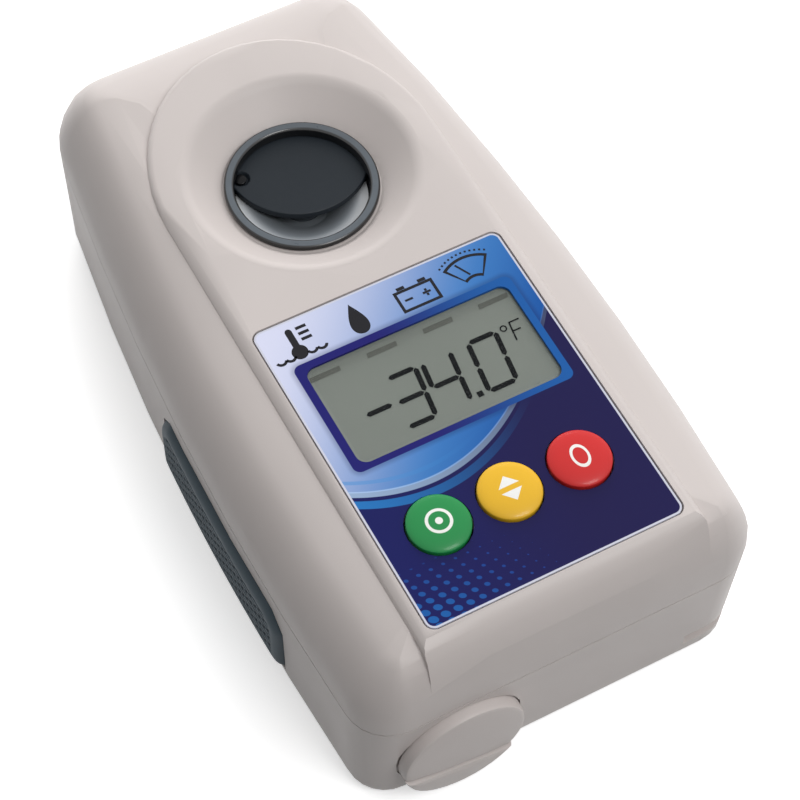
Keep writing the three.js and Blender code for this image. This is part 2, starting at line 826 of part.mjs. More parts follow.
// Label with its windows for the display and the buttons
const labelShape = roundedRectangle(labelWidth, labelLength, labelCorner, 0, labelY);
const windowHole = roundedRectangle(
  displayWidth + fit * 2,
  displayLength + fit * 2,
  displayCorner + fit,
  displayShift,
  displayY,
);
let label = plate(labelShape, recessLevel + fit, labelTop).subtract(plate(windowHole, recessLevel, topLevel));
for (const [, x] of buttonPlaces) {
  label = label.subtract(uprightRod(buttonRadius + fit, x, buttonY, recessLevel, topLevel, fineSides));
}
addPiece('label_panel', label, material(0x26389a, 0.35));

const windowShape = roundedRectangle(
  displayWidth - fit * 2,
  displayLength - fit * 2,
  displayCorner - fit,
  displayShift,
  displayY,
);
addPiece('display_window', plate(windowShape, recessLevel + fit, labelTop), material(0x9aa49c, 0.15));
const lcdShape = roundedRectangle(lcdWidth, lcdLength, displayCorner, displayShift, displayY);
addPiece('lcd_glass', plate(lcdShape, lcdUnder, lcdTop), material(0x8c948c, 0.3));

const holderOuter = roundedRectangle(
  lcdWidth + holderWall * 2,
  lcdLength + holderWall * 2,
  displayCorner + holderWall,
  displayShift,
  displayY,
);
const holderInner = roundedRectangle(
  lcdWidth - holderLedge * 2,
  lcdLength - holderLedge * 2,
  displayCorner,
  displayShift,
  displayY,
);
const holder = plate(holderOuter, boardTop + fit, holderTop)
  .add(plate(lcdShape, boardTop + fit, lcdUnder - fit))
  .subtract(plate(holderInner, boardTop, topLevel));
addPiece('lcd_holder', holder, material(0xe7e7e2, 0.5));
for (const [name, side] of [['near', -1], ['far', 1]]) {
  const y = displayY + side * (lcdLength / 2 - holderLedge - stripInset - stripWidth / 2);
  const half = lcdWidth / 2 - holderLedge - stripWidth;
  const x = displayShift;
  addPiece(
    `lcd_strip_${name}`,
    block(x - half, x + half, y - stripWidth / 2, y + stripWidth / 2, boardTop + fit, lcdUnder - fit),
    material(0xd9a9b4, 0.7),
  );
}

// Main board with its screws
const boardShape = roundedRectangle(
  boardHalfWidth * 2,
  boardLength,
  boardScrewInset / 2,
  0,
  (boardNear + boardFar) / 2,
);
let board = plate(boardShape, boardTop - boardThickness, boardTop);
for (const [name, x, y] of boardScrews) {
  board = board.subtract(uprightRod(boardScrewRadius + fit, x, y, 0, topLevel, fineSides / 2));
  const seat = boardTop - boardThickness - fit;
  const tip = boardTop + boardScrewGrip;
  const solid = screw(boardScrewRadius, boardScrewHeadRadius, boardScrewHeadHeight, seat, tip, x, y);
  addPiece(`board_screw_${name}`, solid, nickel.clone());
}
addPiece('main_board', board, material(0x1f6b43, 0.5));

// Buttons: a domed cap with a flange below the case wall, a plunger and its switch
for (const [name, x, color] of buttonPlaces) {
  const dome = [];
  const steps = 5;
  const crown = labelTop + buttonRim;
  for (let i = 0; i <= steps; i++) {
    const turn = i / steps * Math.PI / 2;
    dome.push([buttonRadius * Math.cos(turn), crown + (buttonDome - buttonRim) * Math.sin(turn)]);
  }
  dome[steps][0] = 0;
  const cap = turnedUpright([
    [0, flangeUnder],
    [buttonRadius + buttonFlange, flangeUnder],
    [buttonRadius + buttonFlange, flangeTop],
    [buttonRadius, flangeTop],
    ...dome,
  ], x, buttonY, fineSides);
  addPiece(`${name}_button`, cap, material(color, 0.18));
  const plungerTop = flangeUnder - fit;
  const plungerLow = plungerTop - plungerLength;
  addPiece(
    `${name}_plunger`,
    uprightRod(plungerRadius, x, buttonY, plungerLow, plungerTop, fineSides / 2),
    blackPlastic.clone(),
  );
  const half = switchSide / 2;
  const base = boardTop + fit;
  const body = block(x - half, x + half, buttonY - half, buttonY + half, base, base + switchHeight);
  const wellLow = base + switchHeight - switchWellDepth;
  const hole = uprightRod(plungerRadius + fit, x, buttonY, wellLow, topLevel, fineSides / 2);
  addPiece(`${name}_switch`, body.subtract(hole), nickel.clone());
}

// Bezel ring round the sample well, with a skirt through the land of the dish
const bezelTop = landLevel + fit + bezelHeight;
addPiece('bezel_ring', turnedUpright([
  [bezelInner, landUnder],
  [bezelSkirt, landUnder],
  [bezelSkirt, landLevel + fit],
  [bezelRadius, landLevel + fit],
  [bezelRadius, bezelTop - bezelRound],
  [bezelRadius - bezelRound * 0.35, bezelTop - bezelRound * 0.3],
  [bezelRadius - bezelRound, bezelTop],
  [bezelInner + bezelStep * 2, bezelTop],
  [bezelInner + bezelStep * 1.6, bezelTop - bezelStep * 0.5],
  [bezelInner, bezelTop - bezelStep * 1.6],
  [bezelInner, landUnder],
], 0, wellY, roundSides), material(0x353c42, 0.22, 0.3));

// Evaporation cover: a disc on a pin, thinned round the pin so that the pin head sits below its top
const earTop = coverUnder + coverEarThickness;
const coverDisc = turnedUpright([
  [0, coverUnder],
  [coverRadius, coverUnder],
  [coverRadius, coverTop - coverThickness * 0.25],
  [coverRadius - coverThickness * 0.25, coverTop],
  [0, coverTop],
], coverX, coverY, roundSides);
const earDisc = uprightRod(coverEar, pinX, pinY, coverUnder, earTop);
const earRoom = uprightRod(coverEar, pinX, pinY, earTop, topLevel);
const pinHole = uprightRod(pinRadius + fit, pinX, pinY, 0, topLevel, fineSides / 2);
addPiece('evaporation_cover', coverDisc.subtract(earRoom).add(earDisc).subtract(pinHole), material(0x3a4046, 0.5));

const pinLow = trayUnder - clipThickness - fit - pinBelow;
const headLow = earTop + fit;
addPiece('cover_pin', turnedUpright([
  [0, pinLow],
  [pinRadius, pinLow],
  [pinRadius, headLow],
  [pinHeadRadius, headLow],
  [pinHeadRadius, headLow + pinHeadHeight * 0.5],
  [pinHeadRadius * 0.6, headLow + pinHeadHeight * 0.9],
  [0, headLow + pinHeadHeight],
], pinX, pinY, coarseSides), blackPlastic);
const clipTop = trayUnder - fit;
const clip = uprightRod(clipRadius, pinX, pinY, clipTop - clipThickness, clipTop);
addPiece('pin_clip', clip.subtract(pinHole), steel.clone());

// Tray under the dish: floor and walls of the pocket in which the cover swings
const trayWallTop = landUnder - fit;
let tray = plate(sweptRoom(pocketClearance + trayWall), trayUnder, trayWallTop, sweepSides);
tray = tray.subtract(plate(sweptRoom(pocketClearance), trayTop, topLevel, sweepSides));
for (const [x, y, reach] of trayEars) {
  const share = (reach - trayWall * 4) / reach;
  const ear = capsule(x * share, wellY + (y - wellY) * share, x, y, trayPostRadius);
  const roomAbove = plate(sweptRoom(pocketClearance), trayTop, topLevel, sweepSides);
  tray = tray.add(plate(ear, trayUnder, trayTop).subtract(roomAbove));
  tray = tray.subtract(uprightRod(boardScrewRadius + fit, x, y, 0, topLevel, fineSides / 2));
}
const bowlFlangeIn = bowlRadius - bowlRim * 2;
tray = tray.subtract(uprightRod(bowlRadius + fit, 0, wellY, trayTop - bowlRim - fit, topLevel, roundSides));
tray = tray.subtract(uprightRod(bowlFlangeIn + fit, 0, wellY, 0, topLevel, roundSides));
tray = tray.add(uprightRod(pinBossRadius, pinX, pinY, trayUnder, trayTop)).subtract(pinHole);
addPiece('well_tray', tray, innerGrey);
trayEars.forEach(([x, y], n) => {
  const seat = trayUnder - fit;
  const tip = trayTop + trayScrewGrip;
  const solid = screw(boardScrewRadius, boardScrewHeadRadius, boardScrewHeadHeight, seat, tip, x, y);
  addPiece(`tray_screw_${n + 1}`, solid, nickel.clone());
});

// Sample bowl: a thin pressed dish that leads the drops onto the prism
const bowlTopSide = [];
const bowlLowSide = [];
const bowlSteps = 5;
for (let i = 0; i <= bowlSteps; i++) {
  const share = i / bowlSteps;
  const reach = bowlHole + (bowlFlangeIn - bowlHole) * share;
  const level = trayTop - bowlDepth * (1 - share) ** bowlCurve;
  bowlTopSide.unshift([reach, level]);
  bowlLowSide.push([reach - bowlThickness * 0.3 * share, level - bowlThickness + (bowlThickness - bowlRim) * share]);
}
const bowl = turnedUpright([
  ...bowlLowSide,
  [bowlRadius, trayTop - bowlRim],
  [bowlRadius, trayTop],
  ...bowlTopSide,
  bowlLowSide[0],
], 0, wellY, roundSides);
addPiece('sample_bowl', bowl.subtract(uprightRod(pinBossRadius + fit, pinX, pinY, 0, topLevel)), steel);

// Optics below the bowl: seal, prism and block with two sloping bores
const bowlFloor = trayTop - bowlDepth;
const bowlLow = bowlFloor - bowlThickness;
const sealTop = bowlLow - fit;
const sealLow = sealTop - sealThickness;
const prismShoulder = sealLow - fit;
const prismLow = prismShoulder - prismHeight;
addPiece('prism_seal', turnedUpright([
  [prismRadius + fit, sealLow],
  [sealRadius, sealLow],
  [sealRadius, sealTop],
  [prismRadius + fit, sealTop],
  [prismRadius + fit, sealLow],
], 0, wellY, fineSides), rubber.clone());

function yzColumn(points, x0, x1) {
  return loft([x0, x1].map((x) => points.map(([y, z]) => [x, wellY + y, z])));
}

const prismSide = [
  [-prismTopHalf, prismShoulder],
  [-prismBottomHalf, prismLow],
  [prismBottomHalf, prismLow],
  [prismTopHalf, prismShoulder],
];
const prismNeckRod = uprightRod(prismRadius, 0, wellY, prismShoulder - prismNeck, bowlFloor, fineSides);
const prism = yzColumn(prismSide, -prismHalfWidth, prismHalfWidth).add(prismNeckRod);
addPiece('prism', prism, material(0xdfe6ea, 0.05));

const blockTop = trayUnder - fit;
const slope = beamSlope * degree;
const faceY = blockReach * Math.cos(slope);
const faceZ = bowlFloor - blockReach * Math.sin(slope);
const faceHalf = beamRadius + beamWall;
const outY = faceY + faceHalf * Math.sin(slope);
const outZ = faceZ + faceHalf * Math.cos(slope);
const lowY = faceY - faceHalf * Math.sin(slope);
const lowZ = faceZ - faceHalf * Math.cos(slope);
const shoulderZ = outZ + (outY - blockHeadHalf) * Math.tan(slope);
const blockSide = [
  [-blockHeadHalf, blockTop],
  [-blockHeadHalf, shoulderZ],
  [-outY, outZ],
  [-lowY, lowZ],
  [lowY, lowZ],
  [outY, outZ],
  [blockHeadHalf, shoulderZ],
  [blockHeadHalf, blockTop],
];

// A round rod, or a box, on one of the two light paths: `reach` is measured from the top of the prism
function onBeam(geometry, side, reach) {
  geometry.rotateX(-side * slope);
  geometry.translate(0, wellY + side * reach * Math.cos(slope), bowlFloor - reach * Math.sin(slope));
  return solidOf(geometry);
}

function beamRod(radius, side, from, to, sides = coarseSides) {
  return onBeam(new THREE.CylinderGeometry(radius, radius, to - from, sides), side, (from + to) / 2);
}

let optics = yzColumn(blockSide, -blockHalfWidth, blockHalfWidth);
optics = optics.subtract(beamRod(beamRadius, -1, prismHeight, blockReach + overrun));
optics = optics.subtract(beamRod(beamRadius, 1, prismHeight, blockReach + overrun));
optics = optics.subtract(uprightRod(sealRadius + fit, 0, wellY, prismShoulder, topLevel, fineSides));
optics = optics.subtract(uprightRod(sealRadius + bowlRelief, 0, wellY, blockTop - fit, topLevel, fineSides));
optics = optics.subtract(uprightRod(clipRadius + fit, pinX, pinY, pinLow - fit, topLevel));
const prismRoom = prismSide.map(([y, z]) => [y + Math.sign(y) * fit * 1.5, z < prismShoulder ? z - fit : z + fit]);
optics = optics.subtract(yzColumn(prismRoom, -prismHalfWidth - fit, prismHalfWidth + fit));
const probeTop = trayTop - bowlRim - fit * 2 - probeDrop;
const probeLow = probeTop - probeLength;
optics = optics.subtract(uprightRod(probeRadius + fit, probeOut, wellY, probeLow - fit, topLevel, fineSides / 2));
const chipStart = blockReach - sensorChipThickness;
const chipRoom = new THREE.BoxGeometry(
  sensorChipWidth + fit * 2,
  sensorChipThickness + fit + overrun,
  sensorChipHeight + fit * 2,
);
optics = optics.subtract(onBeam(chipRoom, 1, chipStart - fit + (sensorChipThickness + fit + overrun) / 2));
addPiece('optics_block', optics, innerGrey.clone());
addPiece('temperature_probe', uprightRod(probeRadius, probeOut, wellY, probeLow, probeTop, fineSides / 2), nickel.clone());
addPiece('lens', beamRod(beamRadius - fit, -1, lensReach, lensReach + lensThickness), material(0xe6ecef, 0.05));
const lampBody = beamRod(lampRadius, -1, lampReach, lampReach + lampLength, coarseSides);
const lampDome = onBeam(new THREE.SphereGeometry(lampRadius, coarseSides, coarseSides / 2), -1, lampReach);
const lampRimStart = blockReach + fit;
const lampRim = beamRod(lampRadius + lampFlange, -1, lampRimStart, lampRimStart + lampFlange);
addPiece('lamp', lampBody.add(lampDome).add(lampRim), material(0xf1d9a0, 0.2));
const chip = new THREE.BoxGeometry(sensorChipWidth, sensorChipThickness, sensorChipHeight);
addPiece('sensor', onBeam(chip, 1, chipStart + sensorChipThickness / 2), blackPlastic.clone());
const sensorPlate = new THREE.BoxGeometry(sensorBoardWidth, sensorBoardThickness, sensorBoardHeight);
const sensorPlateReach = blockReach + fit + sensorBoardThickness / 2;
addPiece('sensor_board', onBeam(sensorPlate, 1, sensorPlateReach), material(0x1f6b43, 0.5));

// Cable from the sensor board along the block to the main board
const cableStartY = wellY + sensorPlateReach * Math.cos(slope);
const cableStartZ = bowlFloor - sensorPlateReach * Math.sin(slope);
const plateEnd = sensorBoardWidth / 2 + fit;
const boardUnder = boardTop - boardThickness - fit;
const cablePath = new THREE.CatmullRomCurve3([
  new THREE.Vector3(plateEnd, cableStartY, cableStartZ - cableRadius),
  new THREE.Vector3(plateEnd + cableRadius * 2.5, cableStartY, cableStartZ - cableRadius),
  new THREE.Vector3(cableReach, cableStartY - cableRadius * 3, cableStartZ),
  new THREE.Vector3(cableReach, wellY, cableStartZ),
  new THREE.Vector3(cableReach, boardFar, cableStartZ + cableRadius * 2),
  new THREE.Vector3(cableReach, boardFar - cableRadius * 5, boardUnder - cableRadius * 4),
  new THREE.Vector3(cableReach, boardFar - cableRadius * 5, boardUnder),
]);
const cableRound = new THREE.Shape();
cableRound.absarc(0, 0, cableRadius, 0, Math.PI * 2);
const cable = new THREE.ExtrudeGeometry(cableRound, { steps: hiddenSides, extrudePath: cablePath, curveSegments: 3 });
addPiece('sensor_cable', solidOf(cable), material(0x2b2b2d, 0.6));

// Battery tube, cells, spring and rear contact
addPiece('battery_tube', turnedLying([
  [tubeInner, seatY + fit],
  [tubeOuter, seatY + fit],
  [tubeOuter, tubeOuterEnd],
  [0, tubeOuterEnd],
  [0, tubeInnerEnd],
  [tubeInner, tubeInnerEnd],
  [tubeInner, seatY + fit],
], -tubeAside, tubeLevel), innerGrey.clone());

function cell(start) {
  const shoulder = start + cellButtonHeight;
  const edge = cellButtonHeight * 0.5;
  return turnedLying([
    [0, start],
    [cellButtonRadius, start],
    [cellButtonRadius, shoulder],
    [cellRadius - edge, shoulder],
    [cellRadius, shoulder + edge],
    [cellRadius, shoulder + cellLength - edge],
    [cellRadius - edge, shoulder + cellLength],
    [0, shoulder + cellLength],
  ], -tubeAside, tubeLevel, hiddenSides);
}

addPiece('battery_front', cell(frontCellStart), material(0x8f969c, 0.35, 0.6));
addPiece('battery_rear', cell(rearCellStart), material(0x8f969c, 0.35, 0.6));

const springPoints = [];
const springSteps = 22;
for (let i = 0; i <= springSteps; i++) {
  const share = i / springSteps;
  const turn = share * springTurns * Math.PI * 2;
  const radius = springNarrowRadius + (springWideRadius - springNarrowRadius) * share;
  springPoints.push(new THREE.Vector3(
    -tubeAside + radius * Math.cos(turn),
    springStart + springWireRadius + springStretch * share,
    tubeLevel + radius * Math.sin(turn),
  ));
}
const springWire = new THREE.Shape();
springWire.absarc(0, 0, springWireRadius, 0, Math.PI * 2);
const spring = new THREE.ExtrudeGeometry(springWire, {
  steps: springSteps * 2 - 1,
  extrudePath: new THREE.CatmullRomCurve3(springPoints),
  curveSegments: 3,
});
addPiece('battery_spring', solidOf(spring), nickel.clone());
addPiece(
  'rear_contact',
  lyingRod(contactRadius, -tubeAside, tubeLevel, rearContactStart, rearContactStart + contactThickness, coarseSides),
  nickel.clone(),
);

// Battery cap: a round flange with a grooved plug, and a straight groove above a raised lip on its face
function capBlank(front) {
  return turnedLying([
    [0, front],
    [(capRadius - capRound) * 0.6, front + capCrown * 0.3],
    [capRadius - capRound, front + capCrown],
    [capRadius - capRound * 0.3, front + capCrown + capRound * 0.3],
    [capRadius, front + capCrown + capRound],
    [capRadius, capBack - capRound * 0.4],
    [capRadius - capRound * 0.4, capBack],
    [0, capBack],
  ], -tubeAside, tubeLevel, roundSides);
}

function acrossCap(section) {
  const reach = capRadius + overrun;
  const geometry = loftGeometry([-reach, reach].map((x) => section.map(([y, v]) => [x, y, v])));
  geometry.rotateY(capTilt * degree);
  geometry.translate(-tubeAside, 0, tubeLevel);
  return solidOf(geometry);
}

const capLip = acrossCap([
  [capBack + overrun, -capGrooveOffset],
  [capFace, -capGrooveOffset],
  [capFront, -capGrooveOffset - capLipSlope],
  [capFront - overrun, -capGrooveOffset - capLipSlope],
  [capFront - overrun, -capRadius - overrun],
  [capBack + overrun, -capRadius - overrun],
]);
const capGroove = acrossCap([
  [capFront - overrun, -capGrooveOffset + capGrooveWidth / 2],
  [capFace + capCrown + capGrooveDepth, -capGrooveOffset + capGrooveWidth / 4],
  [capFace + capCrown + capGrooveDepth, -capGrooveOffset - capGrooveWidth / 4],
  [capFront - overrun, -capGrooveOffset - capGrooveWidth / 2],
]);
const plugRadius = tubeInner - fit;
const plugGroove = plugRadius - capSealWire - fit;
const grooveStart = capBack + (capPlugLength - capSealWire) / 2 - fit;
const grooveEnd = grooveStart + capSealWire + fit * 2;
const plug = turnedLying([
  [0, capBack - capRound],
  [plugRadius, capBack - capRound],
  [plugRadius, grooveStart],
  [plugGroove, grooveStart],
  [plugGroove, grooveEnd],
  [plugRadius, grooveEnd],
  [plugRadius, plugEnd],
  [0, plugEnd],
], -tubeAside, tubeLevel);
const capDisc = capBlank(capFace).add(capBlank(capFront).intersect(capLip)).subtract(capGroove);
addPiece('battery_cap', capDisc.add(plug), caseGrey.clone());
const sealRing = new THREE.TorusGeometry(plugRadius - capSealWire / 2, capSealWire / 2, 6, hiddenSides);
sealRing.rotateX(Math.PI / 2);
sealRing.translate(-tubeAside, (grooveStart + grooveEnd) / 2, tubeLevel);
addPiece('cap_seal', solidOf(sealRing), rubber.clone());
addPiece(
  'cap_contact',
  lyingRod(contactRadius, -tubeAside, tubeLevel, plugEnd + fit, plugEnd + fit + contactThickness, coarseSides),
  nickel.clone(),
);

export default object;
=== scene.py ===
"""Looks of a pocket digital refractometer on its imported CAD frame. Metres, +Z up, feet on z = 0."""

import bmesh
import bpy
import numpy as np
from mathutils import Matrix, Vector


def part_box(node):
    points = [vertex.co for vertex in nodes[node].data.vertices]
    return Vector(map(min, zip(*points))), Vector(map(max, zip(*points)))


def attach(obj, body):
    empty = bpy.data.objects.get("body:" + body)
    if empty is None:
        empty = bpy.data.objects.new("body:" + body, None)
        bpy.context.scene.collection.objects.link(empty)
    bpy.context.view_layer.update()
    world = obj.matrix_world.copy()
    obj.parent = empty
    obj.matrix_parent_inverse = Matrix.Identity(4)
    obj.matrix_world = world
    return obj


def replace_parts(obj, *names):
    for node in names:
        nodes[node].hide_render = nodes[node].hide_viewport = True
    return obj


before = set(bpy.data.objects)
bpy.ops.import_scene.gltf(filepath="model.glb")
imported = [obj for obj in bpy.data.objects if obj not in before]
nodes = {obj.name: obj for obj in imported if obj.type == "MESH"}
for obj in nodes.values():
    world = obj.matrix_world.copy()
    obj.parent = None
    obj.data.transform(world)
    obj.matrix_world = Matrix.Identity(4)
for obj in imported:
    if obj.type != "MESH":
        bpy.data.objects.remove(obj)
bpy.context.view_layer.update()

# Camera
# The photograph's own view: a long lens over the front left corner, turned slightly about its axis.
# Its place and turn come from a fit of the label, the display, the keys, the ring and the outline.
label_low, label_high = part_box("label_panel")
label_centre = (label_low + label_high) / 2
label_centre.z = label_high.z
azimuth, elevation, roll = np.radians([-31.156, 57.998, 3.154])
eye = label_centre + Vector((-0.1202, -0.1793, 0.3503))
focal_length, sensor_width, nearest = 120.08, 36, 0.01
back = Vector((np.sin(azimuth) * np.cos(elevation), -np.cos(azimuth) * np.cos(elevation), np.sin(elevation)))
level_right = Vector((np.cos(azimuth), np.sin(azimuth), 0))
level_up = back.cross(level_right)
right = level_right * np.cos(roll) + level_up * np.sin(roll)
up = level_up * np.cos(roll) - level_right * np.sin(roll)
camera_data = bpy.data.cameras.new("camera")
camera_data.lens = focal_length
camera_data.sensor_width = sensor_width
camera_data.clip_start = nearest
camera = bpy.data.objects.new("camera", camera_data)
camera.matrix_world = Matrix((
    (right.x, up.x, back.x, eye.x),
    (right.y, up.y, back.y, eye.y),
    (right.z, up.z, back.z, eye.z),
    (0, 0, 0, 1),
))
bpy.context.scene.collection.objects.link(camera)
bpy.context.scene.camera = camera

# Floor and light
# A plain pale sheet under the instrument, with a soft box low behind it and a weaker one high in front.
# The surround is brighter to the right, behind and above, and plain white wherever it is seen.


class Signal:
    """One shader socket, with sums and products written as in arithmetic and node() for anything else."""

    def __init__(self, tree, socket):
        self.tree = tree
        self.socket = socket

    def node(self, kind, inputs=(), out=0, **settings):
        """One output of a new node, whose inputs are signals or plain values."""
        made = self.tree.nodes.new(kind)
        for key, value in settings.items():
            setattr(made, key, value)
        for key, value in dict(inputs).items():
            if isinstance(value, Signal):
                self.tree.links.new(value.socket, made.inputs[key])
            else:
                made.inputs[key].default_value = value
        return Signal(self.tree, made.outputs[out])

    def math(self, operation, *others):
        """The result of one operation on this signal and the others."""
        return self.node("ShaderNodeMath", enumerate((self, *others)), operation=operation)

    def __add__(self, other):
        return self.math("ADD", other)

    def __sub__(self, other):
        return self.math("SUBTRACT", other)

    def __rsub__(self, other):
        return (self * -1).math("ADD", other)

    def __mul__(self, other):
        return self.math("MULTIPLY", other)

    def __truediv__(self, other):
        return self.math("DIVIDE", other)

    def __pow__(self, other):
        return self.math("POWER", other)

    __radd__ = __add__
    __rmul__ = __mul__


def socket_name(words):
    """The name of a principled shader's socket from its words joined by underscores."""
    return words.replace("_", " ").title().replace("Ior", "IOR")


def new_material(name, **fixed):
    """A material with one principled shader, whose sockets take the keyword values as constants."""
    made = bpy.data.materials.new(name)
    made.use_nodes = True
    tree = made.node_tree
    tree.nodes.clear()
    output = tree.nodes.new("ShaderNodeOutputMaterial")
    shader = tree.nodes.new("ShaderNodeBsdfPrincipled")
    tree.links.new(shader.outputs[0], output.inputs[0])
    for key, value in fixed.items():
        shader.inputs[socket_name(key)].default_value = value
    coordinates = tree.nodes.new("ShaderNodeTexCoord")
    return made, shader, Signal(tree, coordinates.outputs["Object"])


def feed(shader, **signals):
    """Links signals to the shader's sockets."""
    for key, signal in signals.items():
        signal.tree.links.new(signal.socket, shader.inputs[socket_name(key)])


def noise(place, scale, detail=3):
    """Even noise from 0 to 1 at a scale in cells per metre."""
    return place.node("ShaderNodeTexNoise", {"Vector": place, "Scale": scale, "Detail": detail})


def ramp(signal, low, high):
    """Rises smoothly from 0 at low to 1 at high."""
    return signal.node("ShaderNodeMapRange", {"Value": signal, "From Min": low, "From Max": high},
                       interpolation_type="SMOOTHSTEP")


def blend(share, first, second):
    """Mixes two colours, each plain or a signal, by a share from 0 to 1. The numbers are the mix node's own
    for its share, its two colours and its colour output."""
    made = share.tree.nodes.new("ShaderNodeMix")
    made.data_type = "RGBA"
    for key, value in ((0, share), (6, first), (7, second)):
        if isinstance(value, Signal):
            share.tree.links.new(value.socket, made.inputs[key])
        else:
            made.inputs[key].default_value = (*value, 1) if len(value) == 3 else value
    return Signal(share.tree, made.outputs[2])


def seen_share(place):
    """1 for the rays that show the background itself: those of the camera, off metal and through glass."""
    seen, shiny, through = (place.node("ShaderNodeLightPath", out=f"Is {kind} Ray")
                            for kind in ("Camera", "Glossy", "Transmission"))
    return seen.math("MAXIMUM", shiny).math("MAXIMUM", through)


def grey(level):
    """A neutral colour of one level of linear light."""
    return (level, level, level)


reach = 3
floor_data = bpy.data.meshes.new("floor")
floor_data.from_pydata([(-reach, -reach, 0), (reach, -reach, 0), (reach, reach, 0), (-reach, reach, 0)], [],
                       [(0, 1, 2, 3)])
floor = bpy.data.objects.new("floor", floor_data)
bpy.context.scene.collection.objects.link(floor)
floor_material, floor_shader, place = new_material("floor_paper", specular_ior_level=0.1, emission_strength=1)
seen = seen_share(place)
feed(floor_shader, base_color=blend(seen, grey(0.16), grey(0.9)),
     emission_color=blend(seen, grey(0), grey(0.5)), roughness=0.88 + 0.02 * noise(place, 40))
floor_data.materials.append(floor_material)

world = bpy.data.worlds.new("surround")
world.use_nodes = True
sky = world.node_tree.nodes["Background"]
directions = world.node_tree.nodes.new("ShaderNodeTexCoord")
heading = Signal(world.node_tree, directions.outputs["Generated"])
east, north, above = (heading.node("ShaderNodeSeparateXYZ", {0: heading}, out=axis) for axis in range(3))
dim_side, bright_side, white = (0.11, 0.116, 0.12), (0.78, 0.775, 0.77), grey(1)
glow = blend(ramp(east * 0.7 + north * 0.4 + above * 0.55, -0.75, 0.95), dim_side, bright_side)
glow = blend(seen_share(heading), glow, white)
world.node_tree.links.new(glow.socket, sky.inputs[0])
bpy.context.scene.world = world
bpy.context.scene.view_settings.view_transform = "Standard"


def soft_box(name, place, size, power, shows_in_gloss):
    """A square lamp aimed at the middle of the instrument."""
    data = bpy.data.lights.new(name, "AREA")
    data.size = size
    data.energy = power
    lamp = bpy.data.objects.new(name, data)
    lamp.location = place
    lamp.visible_glossy = shows_in_gloss
    lamp.rotation_euler = Vector(place).to_track_quat("Z", "Y").to_euler()
    bpy.context.scene.collection.objects.link(lamp)


soft_box("light_back", (0.35, 1.0, 0.32), 0.5, 8.4, False)
soft_box("light_overhead", (0.25, -0.6, 1.05), 0.5, 5.4, True)

# Case halves and battery cap
# Two moulded shells and a round cap of warm light grey ABS, satin from a fine spark-eroded mould grain.
# The halves meet at a step joint, and four screws from below pull them together.


def bump(height, depth, strength):
    """A normal from a height signal; depth in micrometres for a height of one."""
    return height.node("ShaderNodeBump", {"Height": height, "Distance": depth / 1e6, "Strength": strength})


def tint(red, green, blue):
    """A display colour from 0 to 255 as linear light."""
    return tuple(float(v) for v in (np.array([red, green, blue]) / 255) ** 2.2)


def read_out(items, key, width, kind):
    """One property of all the items of a mesh, as an array with a row for each."""
    values = np.empty(len(items) * width, kind)
    items.foreach_get(key, values)
    return values.reshape(-1, width)


def corner_normals(mesh, passes):
    """A normal at each corner of a mesh of triangles: the mean of the normals of the faces that meet there
    within the crease angle, each weighted by its area times its corner's own angle. A further pass takes the
    mean of a face's three corners as that face's normal."""
    crease = 34
    corners = read_out(mesh.loops, "vertex_index", 1, np.int32).reshape(-1, 3)
    points = read_out(mesh.vertices, "co", 3, np.float32).astype(float)
    normal = read_out(mesh.polygons, "normal", 3, np.float32).astype(float)
    tri = points[corners]
    edge_out = np.roll(tri, -1, 1) - tri
    edge_in = np.roll(tri, 1, 1) - tri
    area = np.linalg.norm(np.cross(edge_out[:, 0], edge_in[:, 0]), axis=1)
    lengths = np.linalg.norm(edge_out, axis=2) * np.linalg.norm(edge_in, axis=2)
    turn = np.arccos(np.clip((edge_out * edge_in).sum(-1) / lengths, -1, 1))
    weight = (turn * area[:, None]).ravel()
    # Each corner (mine) is paired with every corner (other) at the same vertex.
    vertex = corners.ravel()
    face = np.repeat(np.arange(len(corners)), 3)
    order = np.argsort(vertex, kind="stable")
    starts = np.searchsorted(vertex[order], np.arange(len(points) + 1))
    counts = np.diff(starts)[vertex]
    mine = np.repeat(np.arange(len(vertex)), counts)
    step = np.arange(len(mine)) - np.repeat(np.cumsum(counts) - counts, counts)
    other = order[starts[vertex[mine]] + step]
    near = (normal[face[mine]] * normal[face[other]]).sum(1) > np.cos(np.radians(crease))
    mine, other = mine[near], other[near]
    for _ in range(passes):
        total = np.zeros((len(vertex), 3))
        np.add.at(total, mine, normal[face[other]] * weight[other, None])
        total /= np.linalg.norm(total, axis=1, keepdims=True)
        normal = total.reshape(-1, 3, 3).mean(1)
    return total


def smooth_copy(name, made, body, passes=1):
    """A copy of a CAD node that stands for it, with its vertices merged and the smooth normals above."""
    weld = 1e-6
    work = bmesh.new()
    work.from_mesh(nodes[name].data)
    bmesh.ops.remove_doubles(work, verts=work.verts, dist=weld)
    mesh = bpy.data.meshes.new(name + "_skin")
    work.to_mesh(mesh)
    work.free()
    mesh.shade_smooth()
    mesh.normals_split_custom_set(corner_normals(mesh, passes).tolist())
    mesh.materials.append(made)
    piece = bpy.data.objects.new(name + "_skin", mesh)
    bpy.context.scene.collection.objects.link(piece)
    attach(piece, body)
    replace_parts(piece, name)


case_material, case_shader, place = new_material("case_plastic", specular_ior_level=0.28)
feed(case_shader,
     base_color=blend(noise(place, 34), tint(199, 191, 188), tint(205, 197, 194)),
     roughness=0.37 + 0.1 * noise(place, 180, 2),
     normal=bump(noise(place, 5200, 2), 10, 0.5))
smooth_copy("top_case", case_material, "case", passes=2)
smooth_copy("bottom_case", case_material, "case")
smooth_copy("battery_cap", case_material, "cap")

